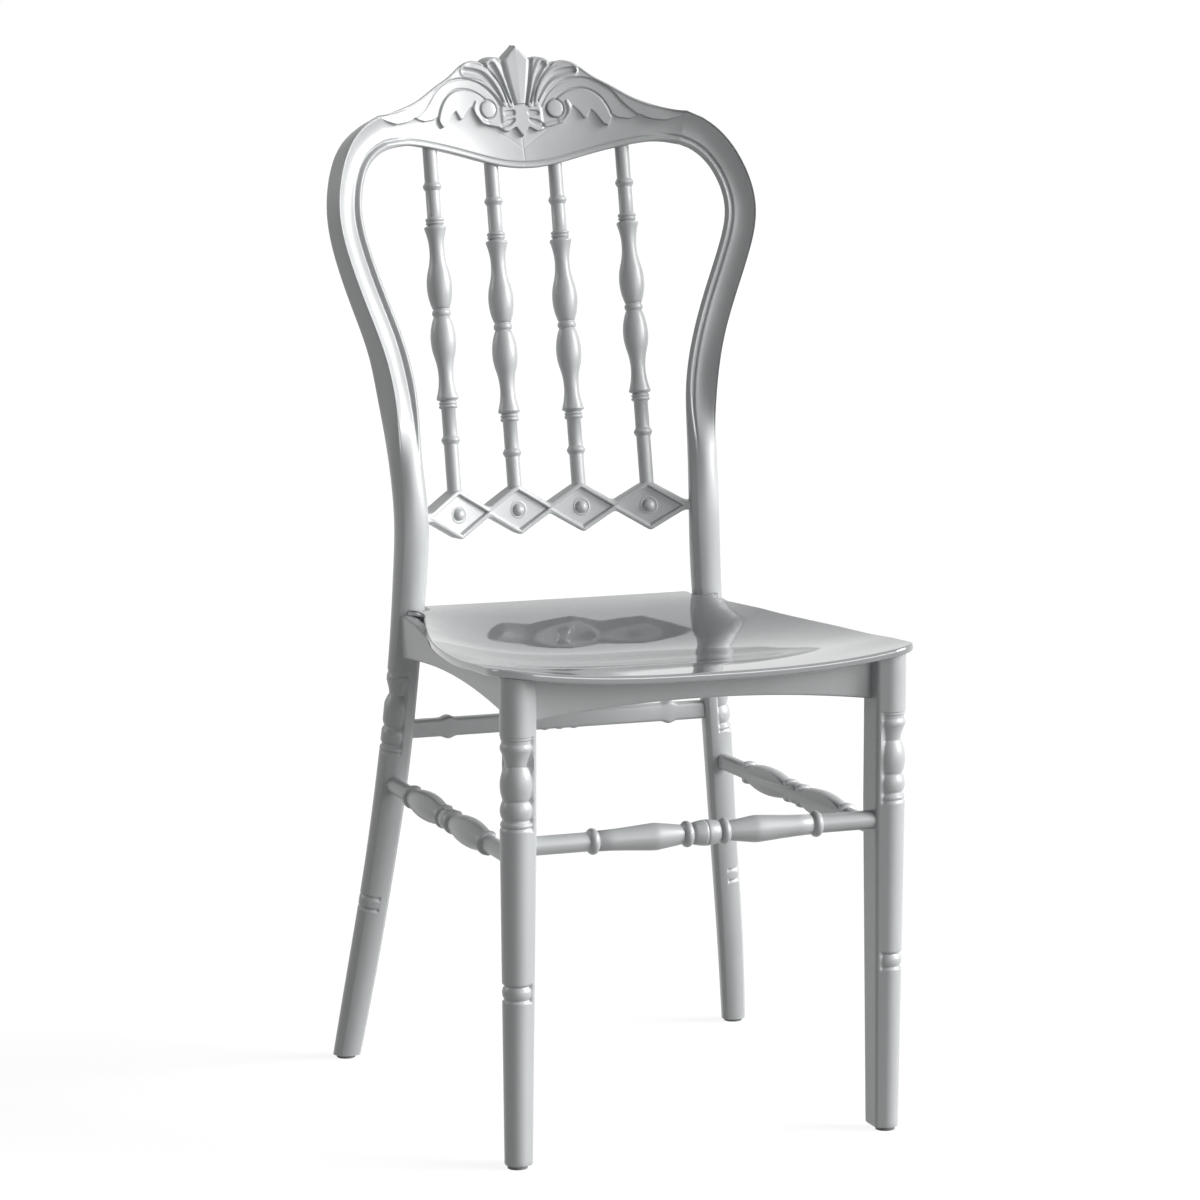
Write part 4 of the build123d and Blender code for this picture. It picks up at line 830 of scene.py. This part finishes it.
def makeLozengeRail():
    own = lozenge
    middles = [(i - 1.5) * own["pitch"] for i in range(4)]
    x = np.linspace(-own["end"], own["end"], own["columns"])
    slope = own["height"] / own["length"]
    rough = np.max([own["height"] / 2 - slope * np.abs(x - m) for m in middles], axis=0)
    rough = np.maximum(rough, own["neck"])
    window = np.ones(2 * own["spread"] + 1) / (2 * own["spread"] + 1)
    half = np.convolve(np.pad(rough, own["spread"], mode="edge"), window, mode="valid")
    s = np.linspace(-1, 1, own["rows"])
    s = np.sign(s) * (1 - (1 - np.abs(s))**1.25)  # rows stand closer at both edges
    xs, zs = np.repeat(x[:, None], own["rows"], axis=1), half[:, None] * s[None]
    # sunk field, a raised line round it, and eased outer edges
    front = np.full(xs.shape, -own["depth"] / 2)
    inner = np.max([own["height"] / 2 - own["rim"] - slope * np.abs(xs - m) for m in middles], axis=0) - np.abs(zs)
    front += own["recess"] * ease(inner / own["soft"])
    front -= 0.35 * ease((inner + 3.2) / 1.6) * ease(-inner / 1.2)
    edge = np.clip(own["soft"] - (half[:, None] - np.abs(zs)) * 0.86, 0, own["soft"])
    front += own["soft"] - np.sqrt(own["soft"]**2 - edge**2)
    for m in middles:
        far = np.hypot(xs - m, zs)
        dome = -own["depth"] / 2 + own["recess"] + own["sink"] - np.sqrt(np.maximum(own["boss"]**2 - far**2, 0))
        front = np.where(far < own["boss"], np.minimum(front, dome), front)
        front -= 0.5 * np.maximum(1 - np.square((far - own["groove"]) / 0.8), 0)
    few = len(own["backRound"])
    xb, zb = np.repeat(x[:, None], few, axis=1), half[:, None] * np.linspace(1, -1, few)[None]
    behind = own["depth"] / 2 - np.array(own["backRound"])[None]
    plateSkin("lozengeRail", "lozenge_rail", onBack(xs, zs + back["z"], front), onBack(xb, zb + back["z"], behind))


makeLozengeRail()
print("rail of diamonds made")

# carved crest, drawn in front view for one half: x from the middle, z from the floor
outerRidge = [(19.8, 860.5), (26.8, 871.5), (37.9, 880.3), (50, 884.5), (57.7, 885.5), (71.2, 883.3),
              (84.8, 875.8), (97.4, 861.4), (108.8, 852.4)]
innerRidge = [(35.2, 867.2), (43, 872.6), (54.6, 876.1), (66.1, 875.2), (76, 868.9), (83.5, 857.4), (85.9, 850.7)]
crest = {
    "joint": 147.0,
    "jointZ": 840.0,
    "tilt": 0.304,
    "drawnFrom": 112.0,
    "plateZ": 830.0,
    "columns": 511,
    "lip": 8.0,
    "lipRows": 16,
    "rows": 150,
    "top": [
        [(0, 915), (3.2, 911.6), (6.7, 908.4), (10.2, 905.0), (13.1, 902.0)],
        [(13.1, 902.0), (17.0, 904.0), (23.5, 904.5), (29.5, 902.6), (34.2, 899.2)],
        [(34.2, 899.2), (39.5, 901.2), (46.8, 901.5), (56, 898.3), (69.5, 888.6), (84, 880.5), (105, 868.3),
         (126, 859.5), (139.5, 856.3), (153, 855.6)],
    ],
    "plateLow": [
        (0, 833), (2.6, 836.2), (6.4, 841.6), (9, 840.4), (14, 837.6), (19, 838.4), (24, 841.2), (30, 842.4),
        (40.5, 845.4), (46.6, 853), (50, 861), (56, 855), (60.2, 849.4), (62.6, 849.2), (67, 857), (70.8, 853.5),
        (77.5, 844.2), (82.0, 842.2), (84.6, 846.5), (86.4, 852.5), (90.7, 849.6), (101, 848.2), (107, 850.0),
        (111.4, 852.2), (116, 849.8), (122, 848.0), (133, 846.8), (143, 849.8), (154, 855.6),
    ],
    "fieldTop": [(0, 867), (42, 867), (84, 863), (118, 856), (147, 854.8)],
    "leaf": [(861, 4.4), (881, 8.8), (902, 12.6), (915, 0.6)],  # height, half width
    "volute": (33.1, 858.2),
    "button": 7.7,
    # kind, lift, path, half widths along the path
    "strokes": [
        ("pad", 1.0, [(9.6, 862), (14.0, 877), (19.0, 889), (25.0, 897.5)], (3.0, 3.6, 5.2, 7.2)),
        ("pad", 1.0, [(15.5, 863), (23.0, 878), (35.5, 889.5), (52.0, 893.0)], (3.0, 4.4, 6.6, 7.2)),
        ("hollow", -3.2, [(9.8, 864), (15.0, 878), (19.8, 889), (25.2, 897)], (1.0, 1.5, 2.4, 3.9)),
        ("hollow", -3.0, [(17.6, 865), (25.0, 878), (37.0, 889.0), (53.0, 892.6)], (1.1, 2.2, 4.0, 3.8)),
        ("hollow", -2.8, [(5.8, 862), (10.4, 881), (14.4, 902)], (1.3, 1.6, 1.9)),
        ("hollow", -2.0, [(13.4, 864), (18.6, 880), (27.0, 892), (34.4, 900)], (0.9, 1.1, 1.3, 1.7)),
        ("hollow", -1.6, outerRidge, (1.5, 1.5, 1.4, 1.3, 1.3, 1.3, 1.3, 1.2, 1.0)),
        ("hollow", -1.4, innerRidge, (1.2, 1.2, 1.2, 1.2, 1.2, 1.2, 1.0)),
        ("round", 1.5, [(45.0, 864.5), (47.2, 858.0), (45.2, 850.5), (39.5, 845.8), (31.0, 844.8), (23.0, 843.2)],
         (1.6, 2.4, 2.8, 2.8, 2.4, 1.8)),
        ("pad", -2.0, [(8.6, 854.8), (15.2, 854.3)], (2.8, 2.5)),
        ("pad", -2.0, [(8.4, 848.4), (13.6, 845.8), (18.8, 843.9)], (1.8, 3.2, 2.4)),
        ("hollow", -1.4, [(0.0, 862.0), (5.2, 862.0)], (0.9, 0.9)),
    ],
    # faint lines in the field where the flow of the moulding met
    "flow": [[(0, 800), (0, 818), (0, 834)], [(0, 822), (12, 830.5), (25, 838)]],
    "backRound": [1.4, 0.2] + [0.0] * 11 + [0.2, 1.6],
}


def strokeShare(x, z, path, widths):
    # distance from a smooth stroke, as a share of its half width there
    path = np.array(path, float)
    knots = runAlong(path)
    at = np.linspace(0, knots[-1], 36)
    line, wide = smoothThrough(knots, path, at), np.interp(at, knots, widths)
    share = np.full(x.shape, 99.0)
    for i in range(len(at) - 1):
        first, way = line[i], line[i + 1] - line[i]
        t = np.clip(((x - first[0]) * way[0] + (z - first[1]) * way[1]) / (way @ way), 0, 1)
        far = np.hypot(x - first[0] - t * way[0], z - first[1] - t * way[1])
        share = np.minimum(share, far / (wide[i] + (wide[i + 1] - wide[i]) * t))
    return share


def crestTop(x):
    found = np.zeros_like(x)
    for lobe in crest["top"]:
        knots, highs = np.array(lobe, float).T
        here = (x >= knots[0]) & (x <= knots[-1])
        found[here] = smoothThrough(knots, highs, x[here])
    return found


def plateBack(z):
    # the carved plate leans more than the rest of the back
    return backY(crest["plateZ"]) + back["crestLean"] * (z - crest["plateZ"])


def carvedLift(x, z):
    # how far the carving stands out from the plate, for x on the right half
    lift = np.zeros_like(x)
    outerZ, innerZ = [smoothThrough(*np.array(ridge).T, x.ravel()).reshape(x.shape)
                      for ridge in (outerRidge, innerRidge)]
    lift -= 1.1 * ease((outerZ - z) / 1.4) * ease((x - 18.5) / 3) * ease((110 - x) / 3)
    lift += 1.0 * ease((innerZ - z) / 1.4) * ease((x - 34) / 3) * ease((87 - x) / 2)
    for kind, height, path, widths in crest["strokes"]:
        share = strokeShare(x, z, path, widths)
        if kind == "pad":
            lift += height * ease((1 - share) * 3.0)
        elif kind == "hollow":
            lift += height * np.maximum(1 - share**2, 0)
        else:
            lift += height * np.sqrt(np.maximum(1 - share**2, 0))
    # broad pointed leaf with a soft ridge down its middle
    share = x / np.interp(z, *np.array(crest["leaf"]).T)
    lift += (0.35 * np.maximum(1 - share, 0) + 0.9 * ease((1 - share) * 4)) * ease((z - 860.5) / 1.6)
    # flat button of the volute with a groove round it
    far = np.hypot(x - crest["volute"][0], z - crest["volute"][1])
    dome = 0.3 + 1.1 * np.sqrt(np.maximum(1 - np.square(far / (crest["button"] + 0.3)), 0))
    lift = np.where(far < crest["button"], dome, lift)
    return lift - 1.5 * np.maximum(1 - np.square((far - crest["button"] - 0.5) / 0.9), 0)


def makeCrest():
    own = crest
    base = np.linspace(-own["joint"], own["joint"], own["columns"])
    reach = np.abs(base)
    low, top = crestLow(base), crestTop(reach)
    lean = own["tilt"] * ease((reach - 100) / 47)

    def spreadX(z):
        # columns lean outwards near the joints
        return np.sign(base)[:, None] * (reach[:, None] + lean[:, None] * (z - own["jointZ"]))

    lip = low[:, None] + np.linspace(0, own["lip"], own["lipRows"])[None]
    rest = np.linspace(0, 1, own["rows"])[1:]
    z = np.concatenate([lip, low[:, None] + own["lip"] + (top - low - own["lip"])[:, None] * rest[None]], axis=1)
    x = spreadX(z)
    side = np.abs(x)
    # field: a shallow cove above a thin lip, as the hoop has
    toJoint = ease((reach - 90) / 57)[:, None]
    fieldTop = np.interp(reach, *np.array(own["fieldTop"]).T)[:, None]
    up = z - low[:, None]
    cove = np.clip((up - 5.2) / (fieldTop - low[:, None] - 5.2), 0, 1)
    depth = (-8.7 + 0.9 * toJoint) * (1 - cove) + (-8.0 - 0.5 * toJoint) * cove
    depth += (3.0 + 1.5 * toJoint) * 4 * cove * (1 - cove)
    depth -= 0.9 * np.sqrt(np.maximum(1 - np.square((up - 2.6) / 2.6), 0)) * (1 - 0.7 * toJoint)
    depth += 1.3 * np.exp(-np.square((up - 5.8) / 0.75)) + 2.0 * np.maximum(1 - up / 1.6, 0)**2
    for path in own["flow"]:
        depth += 0.2 * np.maximum(1 - np.square(strokeShare(side, z, path, (0.8, 0.8, 0.8))), 0)
    # carved plate in front of the field
    plateLow = np.interp(side, *np.array(own["plateLow"], float).T)
    onPlate = ease((z - plateLow) / 1.5 + 0.35)
    lift = carvedLift(side, z)
    under = top[:, None] - z
    lift += 0.6 * ease((2.6 - under) / 0.9) * ease((side - 14) / 3)
    lift -= 1.4 - np.sqrt(1.96 - np.square(np.clip(1.4 - under, 0, 1.4)))
    carved = plateBack(z) - 10.4 - lift * (1 - 0.55 * ease((side - 120) / 30))
    carved += 1.6 * ease((side - 118) / 32)
    y = (backY(z) + depth) * (1 - onPlate) + carved * onPlate
    face = onBack(x, z, y - backY(z))
    # back: plain, with eased edges, and lower than the front so that the top edge looks thin
    topBack = top - 6.5 * ease((reach - 34) / 22) * ease((own["joint"] - reach) / 60)
    zb = low[:, None] + (topBack - low)[:, None] * np.linspace(1, 0, len(own["backRound"]))[None]
    plate = plateBack(zb) - backY(zb)
    behind = np.minimum(9.0, plate + 5.0)
    behind = np.maximum(behind, np.where(zb > 867, plate + 4.6, -99)) - np.array(own["backRound"])[None]
    rear = onBack(spreadX(zb), zb, behind)
    # both ends are drawn over to the hoop's last ring
    coveEnd, lipEnd = hoop["steps"][0], hoop["steps"][4]
    frontPath = np.concatenate([hoopEnd[-lipEnd:], hoopEnd[:coveEnd + 1]])
    backPath = hoopEnd[coveEnd + 2:-lipEnd]
    drawn = ease((reach - own["drawnFrom"]) / (own["joint"] - own["drawnFrom"]))
    for skin, path in ((face, frontPath), (rear, backPath)):
        way, run = runAlong(path), runAlong(skin[-1])
        goal = pointsAt(path, way, run / run[-1] * way[-1])
        shift = drawn[:, None, None] * (goal - skin[-1])[None]
        shift[..., 0] *= np.sign(base)[:, None]
        skin += shift
    plateSkin("carvedCrest", "crest_rail", face, rear, 62)


makeCrest()
print("crest made")
